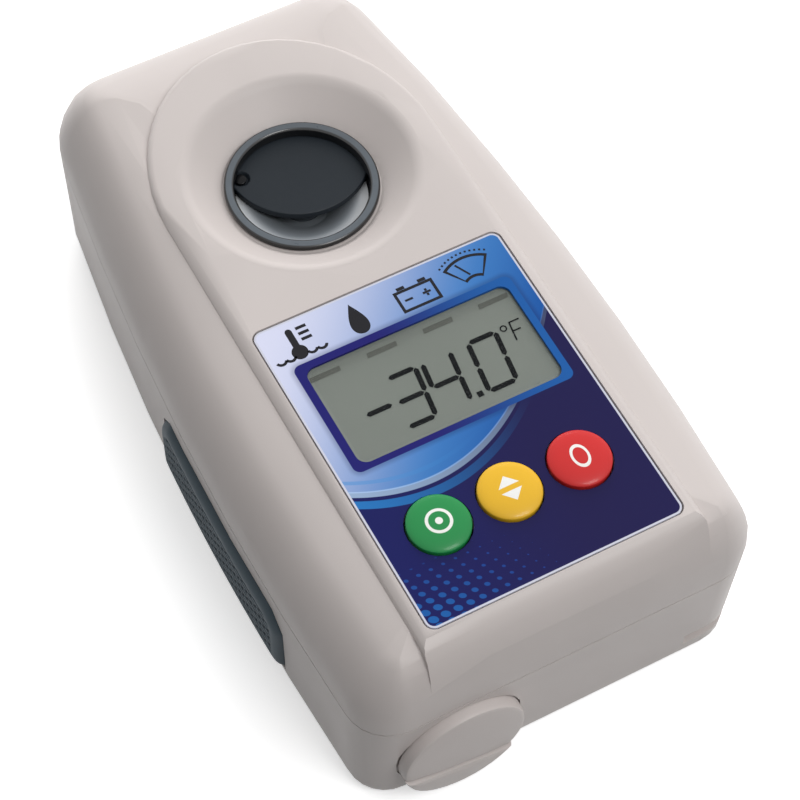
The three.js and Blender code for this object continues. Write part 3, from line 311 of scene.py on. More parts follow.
# Wall of the dish
# Part of the top moulding and of its plastic: its conical wall, which leaves the plateau in a soft curve
# and runs down to the ring.
mm = 1000  # millimetres in a metre


def skin(name, grid, made, body, closed=(False, True), raised=None):
    """A surface over a grid of points in millimetres, with faces between neighbouring rows and columns,
    and also between the last and the first of those that are closed. Values of raised, one for each point,
    become an attribute that the shader reads."""
    weld, sharpest = 1e-7, 40
    rows, columns = grid.shape[:2]
    index = np.arange(rows * columns).reshape(rows, columns)
    index = np.concatenate([index, index[:1]]) if closed[0] else index
    index = np.concatenate([index, index[:, :1]], 1) if closed[1] else index
    faces = np.stack([index[:-1, :-1], index[1:, :-1], index[1:, 1:], index[:-1, 1:]], -1).reshape(-1, 4)
    mesh = bpy.data.meshes.new(name)
    mesh.from_pydata((grid.reshape(-1, 3) / mm).tolist(), [], faces.tolist())
    if raised is not None:
        mesh.attributes.new("raised", "FLOAT", "POINT").data.foreach_set("value", raised.ravel())
    work = bmesh.new()
    work.from_mesh(mesh)
    bmesh.ops.remove_doubles(work, verts=work.verts, dist=weld)
    work.to_mesh(mesh)
    work.free()
    mesh.shade_smooth()
    mesh.set_sharp_from_angle(angle=np.radians(sharpest))
    mesh.materials.append(made)
    piece = bpy.data.objects.new(name, mesh)
    bpy.context.scene.collection.objects.link(piece)
    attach(piece, body)
    return piece


def turned(profile, centre, steps=160):
    """Grid of a closed profile of (radius, height) pairs carried round an upright line."""
    turn = np.linspace(0, 2 * np.pi, steps, endpoint=False)[None]
    radius, height = profile[:, :1], profile[:, 1:]
    return np.stack([centre[0] + radius * np.cos(turn), centre[1] + radius * np.sin(turn),
                     height + 0 * turn], -1)


def middle_of(low, high):
    """Middle of a box in millimetres, from its corners in metres."""
    return (low + high) * (mm / 2)


def dish_profile(plateau):
    """Radius falls evenly from rim to foot. The height drops along a parabola over the first share of the
    way and along a straight line after it; a thin wall hangs below."""
    rim, foot, depth, lift, thickness, curved = 20.2, 13.25, 4.98, 0.006, 0.25, 0.3
    share = np.linspace(0, 1, 40)
    fall = 1 / (1 - curved / 2)
    drop = np.where(share < curved, fall * share ** 2 / (2 * curved), fall * (share - curved / 2))
    wall = np.column_stack([rim + (foot - rim) * share, plateau + lift - depth * drop])
    return np.concatenate([wall, wall[::-1] - (0, thickness)])


ring_low, ring_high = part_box("bezel_ring")
ring_centre = middle_of(ring_low, ring_high)
top_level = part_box("top_case")[1].z * mm
skin("dish_wall", turned(dish_profile(top_level), ring_centre), case_material, "case", (True, True))

# Side grips
# Pads of soft slate-coloured rubber glued into shallow recesses at the sides of the case.
# Inside a rounded border the pad is moulded with short staggered bars that a damp hand can hold.
grip_material, grip_shader, place = new_material("grip_rubber", specular_ior_level=0.4)
raised = place.node("ShaderNodeAttribute", attribute_name="raised", out="Fac")
rub = noise(place, 900, 4)
# Painted shade: the sunken ground between the bars is coloured near black, and the bars and border are slate.
feed(grip_shader,
     base_color=blend(raised, tint(22, 30, 36), blend(rub, tint(54, 66, 74), tint(68, 80, 88))),
     roughness=0.55 + 0.16 * rub,
     normal=bump(noise(place, 5000, 2), 10, 0.5))


def pad_grid(points):
    """Front and back of a pad over its solid's points. The outer face is fitted as a parabola along the case
    that leans with height. The room to the nearest edge, a soft minimum over four sides and two cut corners,
    sets the quarter circle of the shoulder. Bars are products of two steps in a brick pattern, whose halves
    and blurs are shares of a pitch."""
    outer_face, rows, columns = 35.6, 221, 111
    end_cut, diagonal, softness = 3.2, 0.707, 2.5
    pad_depth, shoulder_drop, rounding = 1.9, 1.5, 1.9
    bar_pitch, row_pitch, bar_height, border, border_blur = 2.9, 1.2, 0.3, 2.1, 0.3
    half_length, length_blur, half_width, width_blur = 0.43, 0.05, 0.38, 0.12
    side = np.sign(points[:, 0].mean())
    near, low = points[:, 1:].min(0)
    far, high = points[:, 1:].max(0)
    outer = points[np.abs(points[:, 0]) > outer_face]
    terms = np.column_stack([np.ones(len(outer)), outer[:, 1], outer[:, 1] ** 2, outer[:, 2]])
    level, slope, curve, lean = np.linalg.lstsq(terms, np.abs(outer[:, 0]), rcond=None)[0]
    y = np.linspace(near, far, rows)[:, None]
    cut = np.clip(end_cut - np.minimum(y - near, far - y), 0, end_cut)
    z = low + np.linspace(0, 1, columns)[None] * (high - low - cut)
    y = y + 0 * z
    edges = np.stack([y - near, far - y, z - low, high - z,
                      (y - near + high - z - end_cut) * diagonal, (far - y + high - z - end_cut) * diagonal])
    room = np.clip(-np.log(np.exp(-softness * edges).sum(0)) / softness, 0, None)
    shoulder = shoulder_drop * (1 - np.sqrt(1 - np.clip(1 - room / rounding, 0, 1) ** 2))
    along = np.abs((y / bar_pitch + np.floor(z / row_pitch) * 0.5) % 1 - 0.5)
    across = np.abs((z / row_pitch) % 1 - 0.5)
    bars = (np.clip((half_length - along) / length_blur, 0, 1)
            * np.clip((half_width - across) / width_blur, 0, 1))
    height = 1 - np.clip((room - border) / border_blur, 0, 1) * (1 - bars)
    face = level + slope * y + curve * y ** 2 + lean * z
    front = np.stack([side * (face - shoulder - bar_height * (1 - height)), y, z], -1)
    rear = np.stack([side * (face - pad_depth), y, z], -1)[:, ::-1]
    if side < 0:
        return np.concatenate([front, rear], 1), np.concatenate([height, 0 * height], 1)
    return np.concatenate([rear, front], 1), np.concatenate([0 * height, height], 1)


for grip in ("left_grip", "right_grip"):
    grid, heights = pad_grid(read_out(nodes[grip].data.vertices, "co", 3, np.float32).astype(float) * mm)
    pad = skin(grip + "_pad", grid, grip_material, "case", raised=heights)
    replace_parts(pad, grip)

# Feet and seals
# Small moulded pieces of the same rubber, plain, pressed into their seats and grooves.


def dress(names, made):
    """Gives one material to CAD nodes and shades their curved faces smoothly."""
    sharpest = 28
    for name in names:
        mesh = nodes[name].data
        mesh.materials.clear()
        mesh.materials.append(made)
        mesh.shade_smooth()
        mesh.set_sharp_from_angle(angle=np.radians(sharpest))


rubber_material, rubber_shader, place = new_material("slate_rubber", specular_ior_level=0.35)
rub = noise(place, 1200)
feed(rubber_shader, base_color=blend(rub, tint(38, 45, 50), tint(50, 58, 63)), roughness=0.66 + 0.16 * rub,
     normal=bump(noise(place, 4000, 2), 10, 0.5))
dress(["case_seal", "cap_seal", "prism_seal"], rubber_material)
four_corners = ("front_left", "front_right", "well_left", "well_right")
for corner in four_corners:
    smooth_copy("foot_" + corner, rubber_material, "case")

# Label
# One printed polyester film in a shallow recess, glossy, with cut-outs for the window and the keys.
# The print runs from pale lavender to blue, with navy below a curved edge and a navy frame for the window.


def axes(place):
    """The three components of a position, in millimetres."""
    return [place.node("ShaderNodeSeparateXYZ", {0: place}, out=axis) * mm for axis in range(3)]


def rounded_box(u, v, half_width, half_height, corner):
    """Distance in millimetres from a rounded rectangle about the origin, below zero inside."""
    out_u = u.math("ABSOLUTE") - (half_width - corner)
    out_v = v.math("ABSOLUTE") - (half_height - corner)
    far = (out_u.math("MAXIMUM", 0) ** 2 + out_v.math("MAXIMUM", 0) ** 2).math("SQRT")
    return far + out_u.math("MAXIMUM", out_v).math("MINIMUM", 0) - corner


def label_print(place):
    """Colour of the film at a place: bands, dots and frame from sums of curves in millimetres, over u to the
    right and v upwards from the middle of the film."""
    x, y = axes(place)[:2]
    u = x - label_centre.x * mm
    v = y - label_centre.y * mm
    # Pale sky at the top left that deepens to the right, above the curved edge of the navy field.
    lavender, sky_blue, deep_blue = tint(214, 217, 240), tint(62, 122, 190), tint(14, 80, 156)
    slope = u - 0.85 * v
    sky = blend(ramp(slope, -46, -2), lavender, sky_blue)
    sky = blend(ramp(slope, -10, 14), sky, deep_blue)
    edge_drop, edge_bend, edge_middle, blur = 6.4, 0.0205, 9, 0.05
    rim = v + edge_drop - edge_bend * (u + edge_middle) ** 2
    navy = blend(ramp(u, -22, 10), tint(13, 20, 86), tint(22, 16, 70))
    print_color = blend(ramp(rim, -blur, blur), navy, sky)
    # Three arcs along the edge: heights above it, the u over which each fades, and its colour.
    arc_blur = 0.06
    for low, high, full, gone, color in ((-3.1, -1.6, -30, 14, tint(38, 118, 190)),
                                         (-0.9, 0.25, -60, 40, tint(176, 205, 238)),
                                         (1.6, 2.3, -44, 4, tint(64, 140, 206))):
        band = (ramp(rim, low - arc_blur, low + arc_blur)
                * (1 - ramp(rim, high - arc_blur, high + arc_blur)))
        print_color = blend(band * (1 - ramp(u, full, gone)), print_color, color)
    # Dots in a slanted grid that shrink away from the lower left corner.
    pitch_u, pitch_v, skew, largest, shrink = 2.1, 1.5, 0.35, 0.46, 0.017
    cell_u = ((u + v * skew) / pitch_u).math("FRACT") - 0.5
    cell_v = (v / pitch_v).math("FRACT") - 0.5
    dot = (cell_u * cell_u + cell_v * cell_v * 0.7).math("SQRT")
    away = ((u + 24) ** 2 + (1.6 * (v + 31)) ** 2).math("SQRT")
    dots = (1 - ramp(dot - (largest - shrink * away), -0.03, 0.03)) * (1 - ramp(v, -19, -18.6))
    print_color = blend(dots, print_color, blend(ramp(away, 0, 26), tint(24, 96, 168), tint(22, 52, 128)))
    # The frame of the window with a soft shade round it.
    from_frame = rounded_box(u - 0.2, v - 10.1, 19.4, 10.8, 1.3)
    frame_color = blend(ramp(u, -6, 19), tint(27, 25, 104), tint(24, 88, 160))
    print_color = blend((1 - ramp(from_frame, 0, 1.1)) * 0.35, print_color, tint(14, 20, 74))
    print_color = blend(1 - ramp(from_frame, -blur, blur), print_color, frame_color)
    # A pale band just inside the cut edge.
    half, corner = (label_high - label_low) * (mm / 2), 1.5
    edge = rounded_box(u, v, half.x, half.y, corner)
    return blend(ramp(edge, -0.36, -0.26), print_color, tint(206, 208, 222))


label_material, label_shader, place = new_material("label_print", specular_ior_level=0.22, coat_weight=0.06,
                                                   coat_roughness=0.2)
feed(label_shader, base_color=label_print(place), roughness=0.46 + 0.1 * noise(place, 700, 2),
     normal=bump(noise(place, 1500, 2), 4, 0.4))
dress(["label_panel"], label_material)

# Window and liquid-crystal display
# A clear acrylic window flush with the film, over the grey-green reflective glass of the display.
# The segments lie on the glass, dark where they are lit and pale where they are idle.
window_material, window_shader, place = new_material("clear_window", base_color=(0.02, 0.022, 0.022, 1),
                                                     alpha=0.05)
feed(window_shader, roughness=0.05 + 0.04 * noise(place, 400, 2))
dress(["display_window"], window_material)
glass_material, glass_shader, place = new_material("lcd_glass", specular_ior_level=0.25)
shade = noise(place, 60, 2)
feed(glass_shader, base_color=blend(shade, tint(128, 134, 127), tint(135, 141, 134)),
     roughness=0.4 + 0.1 * shade)
dress(["lcd_glass"], glass_material)


def bar(start_u, start_v, end_u, end_v, half, steps=2):
    """Outline of a straight bar between two points, of twice the half width. Each end is a half circle in the
    given number of steps: two give a pointed end and one a square end."""
    heading = np.arctan2(end_v - start_v, end_u - start_u)
    turn = heading + np.linspace(-np.pi / 2, np.pi / 2, steps + 1)
    cap = half * np.stack([np.cos(turn), np.sin(turn)], -1)
    return np.concatenate([cap + (end_u, end_v), -cap + (start_u, start_v)])


def arc(centre_u, centre_v, radius, half, first, last, steps=20):
    """Outline of a bent bar: out along the larger radius from the first angle to the last, back along the
    smaller."""
    turn = np.radians(np.linspace(first, last, steps + 1))
    line = np.stack([np.cos(turn), np.sin(turn)], -1)
    return np.concatenate([line * (radius + half), line[::-1] * (radius - half)]) + (centre_u, centre_v)


def plates(name, outlines, level, thickness, material, body):
    """Thin flat pieces: each outline, in millimetres from the middle of the label, at its level and again
    below it, with a wall between the two."""
    sizes = [len(o) for o in outlines]
    starts = np.concatenate([[0], np.cumsum([2 * n for n in sizes])])
    points = np.concatenate([np.concatenate([np.column_stack([o, np.full(len(o), level)]),
                                             np.column_stack([o, np.full(len(o), level - thickness)])])
                             for o in outlines]) / mm + (label_centre.x, label_centre.y, 0)
    faces = []
    for start, n in zip(starts, sizes):
        upper = start + np.arange(n)
        lower = upper + n
        faces += [upper.tolist(), lower[::-1].tolist()]
        faces += np.stack([lower, np.roll(lower, -1), np.roll(upper, -1), upper], -1).tolist()
    mesh = bpy.data.meshes.new(name)
    mesh.from_pydata(points.tolist(), [], faces)
    mesh.materials.append(material)
    piece = bpy.data.objects.new(name, mesh)
    bpy.context.scene.collection.objects.link(piece)
    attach(piece, body)
    return piece


ink_material, ink_shader, place = new_material("segment_ink", roughness=0.6, specular_ior_level=0.1)
feed(ink_shader, base_color=blend(noise(place, 500, 2), (0.004, 0.005, 0.006), (0.009, 0.01, 0.011)))
idle_material, idle_shader, place = new_material("idle_segment", specular_ior_level=0.2)
feed(idle_shader, base_color=blend(noise(place, 500, 2), tint(98, 101, 95), tint(104, 107, 101)),
     roughness=0.45 + 0.1 * noise(place, 300, 2))
glass_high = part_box("lcd_glass")[1]
segment_level, segment_thickness = glass_high.z * mm + 0.06, 0.03
# The reading: a minus sign, the segments of three slanted digits, a point and a small unit sign. The ends of
# each segment are corners of a cell that is one digit wide and two halves of a digit high.
digit_base, digit_width, digit_height, pen = 3.42, 4.9, 9.25, 0.43
slant = np.array([[1, 0.14], [0, 1]])
upright_trim, level_trim = 0.5, pen + 0.2
cell_ends = {"a": (0, 2, 1, 2), "b": (1, 2, 1, 1), "c": (1, 1, 1, 0), "d": (0, 0, 1, 0), "e": (0, 1, 0, 0),
             "f": (0, 2, 0, 1), "g": (0, 1, 1, 1)}
minus, point = bar(-12.2, 8.3, -8.6, 8.3, pen), bar(4.47, 3.68, 5.45, 3.68, 0.5, 1)
lit = [minus, point]
for start, letters in ((-7.95, "abcdg"), (-1.75, "bcfg"), (6.45, "abcdef")):
    for letter in letters:
        ends = np.array(cell_ends[letter], dtype=float).reshape(2, 2) * (digit_width, digit_height / 2)
        run = (ends[1] - ends[0]) / np.linalg.norm(ends[1] - ends[0])
        trim = upright_trim if letter in "bcef" else level_trim
        ends = (ends + [run * trim, -run * trim]) @ slant.T + (start, digit_base)
        lit.append(bar(*ends.ravel(), pen))
lit.append(arc(14.15, 12.6, 0.5, 0.11, 0, 359))
for stroke in ((15.0, 9.8, 15.5, 13.2), (15.5, 13.2, 17.2, 13.2), (15.25, 11.5, 16.6, 11.5)):
    lit.append(bar(*stroke, 0.13))
segments = plates("reading_segments", lit, segment_level, segment_thickness, ink_material, "case")
idle_mark = np.array([[-17.5, 17.5], [-12.25, 17.5], [-12.1, 18.4], [-17.35, 18.4]])
idle_pitch = 10.03
idle = [idle_mark + (step * idle_pitch, 0) for step in range(4)]
marks = plates("idle_segments", idle, segment_level, segment_thickness, idle_material, "case")

# Signs above the display
# Four plain pictograms screened in black ink on the film: a thermometer in liquid, a drop, a cell and a
# windscreen. Their places are in millimetres from the middle of the film.
sign_material, sign_shader, place = new_material("sign_ink", specular_ior_level=0.3)
feed(sign_shader, base_color=blend(noise(place, 700, 2), tint(18, 18, 24), tint(26, 26, 33)),
     roughness=0.42 + 0.1 * noise(place, 900, 2))


def round_line(first, last, steps):
    """Points of a circle of radius one from the first angle to the last, in degrees."""
    turn = np.radians(np.linspace(first, last, steps + 1))
    return np.stack([np.cos(turn), np.sin(turn)], -1)


def framed(outer, inner):
    """Outline of a shape with a hole: round the outer line and back round the inner one, joined by a slit."""
    return np.concatenate([outer, outer[:1], inner[:1], inner[:0:-1], inner[:1]])


def box_line(left, low, right, high):
    """Outline of a rectangle."""
    return np.array([[left, low], [right, low], [right, high], [left, high]])


def screen(low, high, first, last):
    """Outline of a slice of a ring between two radii and two angles."""
    line = round_line(first, last, 16)
    return np.concatenate([line * high, line[::-1] * low])


# Thermometer: a round-topped stem that opens into the bulb, three marks beside it and waves at its foot.
bulb, bulb_radius, stem_half, stem_height, stem_gap = np.array([-16.6, 23.0]), 1.35, 0.57, 4.1, 25
signs = [np.concatenate([round_line(0, 180, 8) * stem_half + bulb + (0, stem_height),
                         round_line(90 + stem_gap, 450 - stem_gap, 24) * bulb_radius + bulb])]
signs += [bar(-15.3, level, -13.5, level, 0.27, 1) for level in (25.0, 26.1, 27.2)]
signs += [arc(centre, 22.9, 0.85, 0.24, 200, 340, 10) for centre in (-20.0, -18.38, -14.6, -12.9)]
# Drop: a circle drawn in towards its top.
turn = np.linspace(0, 2 * np.pi, 41)[:-1]
drop_width, drop_height, drop_point, drop_place = 2.15, 3.0, 1.4, (-5.8, 24.5)
signs.append(np.column_stack([-drop_width * np.sin(turn) * np.abs(np.sin(turn / 2)) ** drop_point,
                              drop_height * np.cos(turn)]) + drop_place)
# Cell: a case with two poles, a minus and a plus.
signs.append(framed(box_line(1.4, 21.8, 8.4, 26.0), box_line(1.9, 22.3, 7.9, 25.5)))
for line in ((2.3, 26.35, 3.7, 26.35, 0.3), (6.1, 26.35, 7.5, 26.35, 0.3), (2.6, 23.9, 4.0, 23.9, 0.2),
             (5.8, 23.9, 7.2, 23.9, 0.2), (6.5, 24.15, 6.5, 24.6, 0.2), (6.5, 23.2, 6.5, 23.65, 0.2)):
    signs.append(bar(*line, 1))
# Windscreen: a bent frame with a wiper across it, under an arc of drops.
wiper_foot, drops_radius, drop_half, drop_angle = (14.6, 20.4), 7.6, 0.17, 1.3
signs.append(framed(screen(2.5, 6.9, 54, 126), screen(3.0, 6.4, 58, 122)) + wiper_foot)
signs.append(bar(14.3, 23.6, 12.9, 26.3, 0.17, 1))
signs += [arc(*wiper_foot, drops_radius, drop_half, middle - drop_angle, middle + drop_angle, 2)
          for middle in range(58, 128, 6)]
label_top = label_high.z * mm
sign_thickness = 0.02
pictograms = plates("label_signs", signs, label_top + sign_thickness, sign_thickness, sign_material, "case")

# Keys
# Three glossy domes moulded in coloured ABS, each on a black stem that presses a small metal-capped switch.
# A white sign is printed on each under clear lacquer: a ring with a dot, two arrows and an oval nought.


def make_key(colour, display_colour, sign):
    """A dome on its flange. Its height falls as the root of one less a power of the share of the radius. Its
    colour has painted shade, darker towards the foot, and the sign is white."""
    key_radius, dome_height, dome_power, flange_height = 5.07, 0.95, 2.5, 1
    made, shader, place = new_material(colour + "_key", specular_ior_level=0.3, coat_weight=0.2,
                                       coat_roughness=0.12)
    x, y, z = axes(place)
    low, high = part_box(colour + "_button")
    middle = middle_of(low, high)
    foot, top = low.z * mm, high.z * mm
    mottle = noise(place, 160, 2)
    plain = tint(*display_colour)
    darker, lighter = tuple(c * 0.5 for c in plain), tuple(min(1, c * 1.1) for c in plain)
    # Painted shade: the colour darkens from the top of the key down to its foot.
    colour_with_foot_shade = blend(ramp(z, foot, top), darker, blend(mottle, plain, lighter))
    feed(shader, base_color=blend(sign(x - middle.x, y - middle.y), colour_with_foot_shade, tint(240, 240, 236)),
         roughness=0.34 + 0.08 * mottle, normal=bump(noise(place, 900, 2), 4, 0.3))
    share = np.sin(np.linspace(0, np.pi / 2, 40))
    dome = np.column_stack([key_radius * share,
                            top - dome_height + dome_height * np.sqrt(1 - share ** dome_power)])
    flange, step = (high.x - low.x) * (mm / 2), foot + flange_height
    side = np.array([[key_radius, step], [flange, step], [flange, foot], [0, foot]])
    grid = turned(np.concatenate([dome, side])[::-1], middle, 96)
    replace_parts(skin(colour + "_dome", grid, made, colour + "_key"), colour + "_button")


def ring_sign(u, v):
    """A ring 1.9 mm in radius round a dot of 0.6 mm."""
    far = (u * u + v * v).math("SQRT")
    ring = 1 - ramp((far - 1.9).math("ABSOLUTE"), 0.2, 0.3)
    return ring.math("MAXIMUM", 1 - ramp(far, 0.55, 0.65))


def arrow_sign(u, v):
    """Two triangles, one pointing up and one down, 0.9 mm apart."""
    high = v.math("ABSOLUTE")
    edge = u.math("ABSOLUTE") * 1.05 + high
    return (1 - ramp(edge, 2.25, 2.35)) * ramp(high, 0.4, 0.5)


def nought_sign(u, v):
    """An oval ring 1.3 mm by 1.9 mm in half size."""
    far = ((u * 1.45) ** 2 + v * v).math("SQRT")
    return 1 - ramp((far - 1.85).math("ABSOLUTE"), 0.24, 0.34)


make_key("green", (32, 132, 70), ring_sign)
make_key("yellow", (226, 176, 42), arrow_sign)
make_key("red", (198, 42, 42), nought_sign)
stem_material, stem_shader, place = new_material("black_moulding", specular_ior_level=0.45)
rub = noise(place, 700)
feed(stem_shader, base_color=blend(rub, tint(24, 25, 27), tint(33, 34, 36)), roughness=0.4 + 0.15 * rub,
     normal=bump(noise(place, 3000, 2), 8, 0.4))
dress(["green_plunger", "yellow_plunger", "red_plunger", "sensor"], stem_material)

# Bright metal pieces
# Turned or stamped steel with nickel plate, drawn or rolled smooth, with faint marks of handling.
# The screws of the case and the clip of the pin are plain steel.
nickel_material, nickel_shader, place = new_material("nickel_plate", metallic=1)
scuff = noise(place, 900, 4)
feed(nickel_shader, base_color=blend(scuff, (0.5, 0.48, 0.44), (0.68, 0.66, 0.61)),
     roughness=0.2 + 0.2 * scuff, normal=bump(noise(place, 2500), 6, 0.4))
dress([n for n in nodes if n.endswith("_switch") or "tray_screw" in n or "board_screw" in n]
      + ["temperature_probe", "battery_spring", "rear_contact", "cap_contact"], nickel_material)
screw_material, screw_shader, place = new_material("screw_steel", metallic=1)
scuff = noise(place, 1400, 4)
feed(screw_shader, base_color=blend(scuff, (0.36, 0.37, 0.38), (0.55, 0.56, 0.57)),
     roughness=0.26 + 0.22 * scuff, normal=bump(scuff, 8, 0.5))
dress(["pin_clip"], screw_material)
for corner in four_corners:
    smooth_copy("case_screw_" + corner, screw_material, "case")

# Ring round the well
# A ring of gloss slate plastic, moulded and pressed into the dish.
# Its wall is black, and its rim is painted paler as a sheen of reflected light.


def far_from(x, y, centre):
    """Distance in plan from a centre, in millimetres."""
    return ((x - centre.x) ** 2 + (y - centre.y) ** 2).math("SQRT")


def ring_profile(foot, top):
    """A foot, a flange and a rim whose outer edge is a quarter circle and whose inner edge is a quarter of an
    oval."""
    bore, foot_radius, outer, flange_level = 11.2, 11.9, 12.9, 37.8
    outer_round, inner_width, inner_height = 0.45, 0.55, 0.56
    rise = np.radians(np.linspace(0, 90, 9))
    return np.concatenate([
        [[bore, foot], [foot_radius, foot], [foot_radius, flange_level], [outer, flange_level]],
        np.column_stack([outer - outer_round * (1 - np.cos(rise)), top - outer_round * (1 - np.sin(rise))]),
        np.column_stack([bore + inner_width * (1 - np.sin(rise)), top - inner_height * (1 - np.cos(rise))])])


ring_material, ring_shader, place = new_material("ring_gloss", coat_weight=0.5, coat_roughness=0.08)
x, y = axes(place)[:2]
far = far_from(x, y, ring_centre)
# Painted reflection: the top of the rim is coloured paler than the black of the ring.
rim = ramp(far, 11.45, 11.7) * (1 - ramp(far, 12.5, 12.65))
scuff = noise(place, 500, 4)
feed(ring_shader,
     base_color=blend(rim, tint(10, 12, 15), blend(scuff, tint(74, 82, 90), tint(86, 94, 101))),
     roughness=0.24 + 0.12 * scuff, normal=bump(noise(place, 1800), 5, 0.4))
ring_side = ring_profile(ring_low.z * mm, ring_high.z * mm)
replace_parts(skin("ring_body", turned(ring_side, ring_centre), ring_material, "case", (True, True)),
            "bezel_ring")

# Swing cover and its pin
# A flat disc of slate plastic that turns on a headed pin at the side of the well, over the bowl.
# Its face is satin with fine turning marks round its centre; the pin's head is polished black.


def cover_grid(low, high, pin):
    """A disc with a quarter circle at its upper edge, whose face sinks smoothly round the pin."""
    radius, edge_round, under_cut, rows, steps = 12.4, 0.25, 0.05, 90, 320
    sink_radius, sink_blur, sink_depth = 1.6, 0.35, 0.78
    top, under = high.z * mm, low.z * mm
    turn = np.radians(np.linspace(90, 0, 9))
    flat = radius - edge_round
    side = np.concatenate([
        np.column_stack([flat * np.linspace(0, 1, rows)[:-1], np.full(rows - 1, top)]),
        np.column_stack([flat + edge_round * np.cos(turn), top - edge_round + edge_round * np.sin(turn)]),
        [[radius, under + under_cut], [radius - under_cut, under], [0, under]]])
    grid = turned(side[::-1], middle_of(low, high), steps)
    away = np.hypot(grid[..., 0] - pin.x, grid[..., 1] - pin.y)
    sunk = np.clip((sink_radius - away) / sink_blur, 0, 1)
    on_face = grid[..., 2] > top - edge_round - 0.05
    grid[..., 2] -= sink_depth * sunk * sunk * (3 - 2 * sunk) * on_face
    return grid


def pin_profile(foot, top):
    """A shank under a head whose top is a quarter of an oval."""
    shank, head_radius, head_height, dome_height = 0.9, 1.0, 0.5, 0.18
    head_foot = top - head_height
    turn = np.radians(np.linspace(90, 0, 9))
    return np.concatenate([
        [[0, foot], [shank, foot], [shank, head_foot], [head_radius, head_foot]],
        np.column_stack([head_radius * np.sin(turn), top - dome_height * (1 - np.cos(turn))])])


cover_low, cover_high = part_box("evaporation_cover")
pin_low, pin_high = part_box("cover_pin")
pin_centre = middle_of(pin_low, pin_high)
cover_material, cover_shader, place = new_material("cover_slate", specular_ior_level=0.35)
x, y = axes(place)[:2]
turning = (far_from(x, y, ring_centre) * 11).math("SINE")
feed(cover_shader,
     base_color=blend(noise(place, 90), tint(30, 36, 42), tint(38, 44, 50)),
     roughness=0.5 + 0.1 * noise(place, 500),
     normal=bump(turning * 0.4 + noise(place, 2600, 2), 6, 0.5))
grid = cover_grid(cover_low, cover_high, pin_centre)
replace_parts(skin("cover_disc", grid, cover_material, "cover"), "evaporation_cover")
pin_material, pin_shader, place = new_material("pin_gloss", specular_ior_level=0.2)
feed(pin_shader, base_color=blend(noise(place, 800), tint(16, 17, 19), tint(26, 27, 30)),
     roughness=0.16 + 0.1 * noise(place, 900))
pin_side = pin_profile(pin_low.z * mm, pin_high.z * mm)
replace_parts(skin("pin_body", turned(pin_side, pin_centre, 48), pin_material, "case"),
            "cover_pin")

# Tray and bowl of the well
# The tray is black moulding under the ring. The bowl in it is a plain satin pressing of stainless steel,
# painted brighter towards its rim as light and darker inwards as shade; it slopes to the prism, and its inner
# edge runs in over the prism's seal.
tray_material, tray_shader, place = new_material("tray_moulding", specular_ior_level=0.45)
rub = noise(place, 600)
feed(tray_shader, base_color=blend(rub, tint(20, 22, 25), tint(30, 32, 35)), roughness=0.38 + 0.16 * rub,
     normal=bump(noise(place, 4200, 2), 8, 0.5))
dress(["well_tray", "optics_block"], tray_material)


def bowl_profile(top):
    """The height rises from the hole to the slope's end as one less a power of the way left. The underside
    follows it, thinner towards the rim, and a thin lip runs inwards at the floor."""
    hole, width, depth, power, outer = 4.4, 5.4, 2.6, 1.8, 11
    floor_thickness, rim_thickness = 0.9, 0.6
    lip_radius, lip_low, lip_high = 3.35, 0.01, 0.05
    share = np.linspace(0, 1, 40)[:, None]
    upper = np.concatenate([hole + width * share, top - depth * (1 - share) ** power], 1)
    under = upper - (0, floor_thickness) + share * (0, floor_thickness - rim_thickness)
    lip = np.array([[hole, lip_low], [lip_radius, lip_low], [lip_radius, lip_high]]) + (0, top - depth)
    return np.concatenate([under[::-1], lip, upper[1:], [[outer, top], [outer, top - rim_thickness]]])


bowl_material, bowl_shader, place = new_material("bowl_steel", metallic=0.6)
x, y, z = axes(place)
far = far_from(x, y, ring_centre)
# One slow cloud over the whole pressing, which is 22 mm across and 3.5 mm high.
across, tall, bowl_top = 22, 3.5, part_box("sample_bowl")[1].z * mm
cloud = noise(place.node("ShaderNodeCombineXYZ", {0: (x - ring_centre.x) / across + 0.5,
                                                  1: (y - ring_centre.y) / across + 0.5,
                                                  2: (z - bowl_top) / tall + 1}), 1, 4)
# Painted light and shade: dark steel towards the middle under the cover, near white towards the lit rim.
steel = blend(ramp(far, 7.6, 12.2), (0.26, 0.29, 0.32), (0.92, 0.93, 0.94))
feed(bowl_shader, base_color=blend(cloud * 0.35, steel, (0.3, 0.32, 0.35)),
     roughness=0.44 + 0.14 * noise(place, 260), normal=bump(cloud, 12, 0.5))
pressing = turned(bowl_profile(bowl_top), ring_centre)
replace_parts(skin("bowl_pressing", pressing, bowl_material, "case", (True, True)), "sample_bowl")

# Prism and lens
# Ground and polished optical glass; the prism's top face is the floor of the well.
optic_material, optic_shader, place = new_material("optical_glass", ior=1.7)
feed(optic_shader, base_color=blend(noise(place, 300), (0.075, 0.09, 0.105), (0.095, 0.11, 0.125)),
     roughness=0.03 + 0.04 * noise(place, 700, 2))
dress(["prism", "lens"], optic_material)

# Lamp and cable
# A clear amber resin body for the lamp, and a round black sheath for the flexible lead of the sensor.
lamp_material, lamp_shader, place = new_material("amber_resin", transmission_weight=0.5, ior=1.5)
feed(lamp_shader, base_color=blend(noise(place, 400), (0.85, 0.5, 0.12), (0.95, 0.62, 0.2)),
     roughness=0.12 + 0.08 * noise(place, 900))
dress(["lamp"], lamp_material)
cable_material, cable_shader, place = new_material("cable_sheath", specular_ior_level=0.4)
feed(cable_shader, base_color=blend(noise(place, 900), tint(24, 24, 26), tint(38, 38, 40)),
     roughness=0.5 + 0.15 * noise(place, 1500), normal=bump(noise(place, 3000), 10, 0.5))
dress(["sensor_cable"], cable_material)

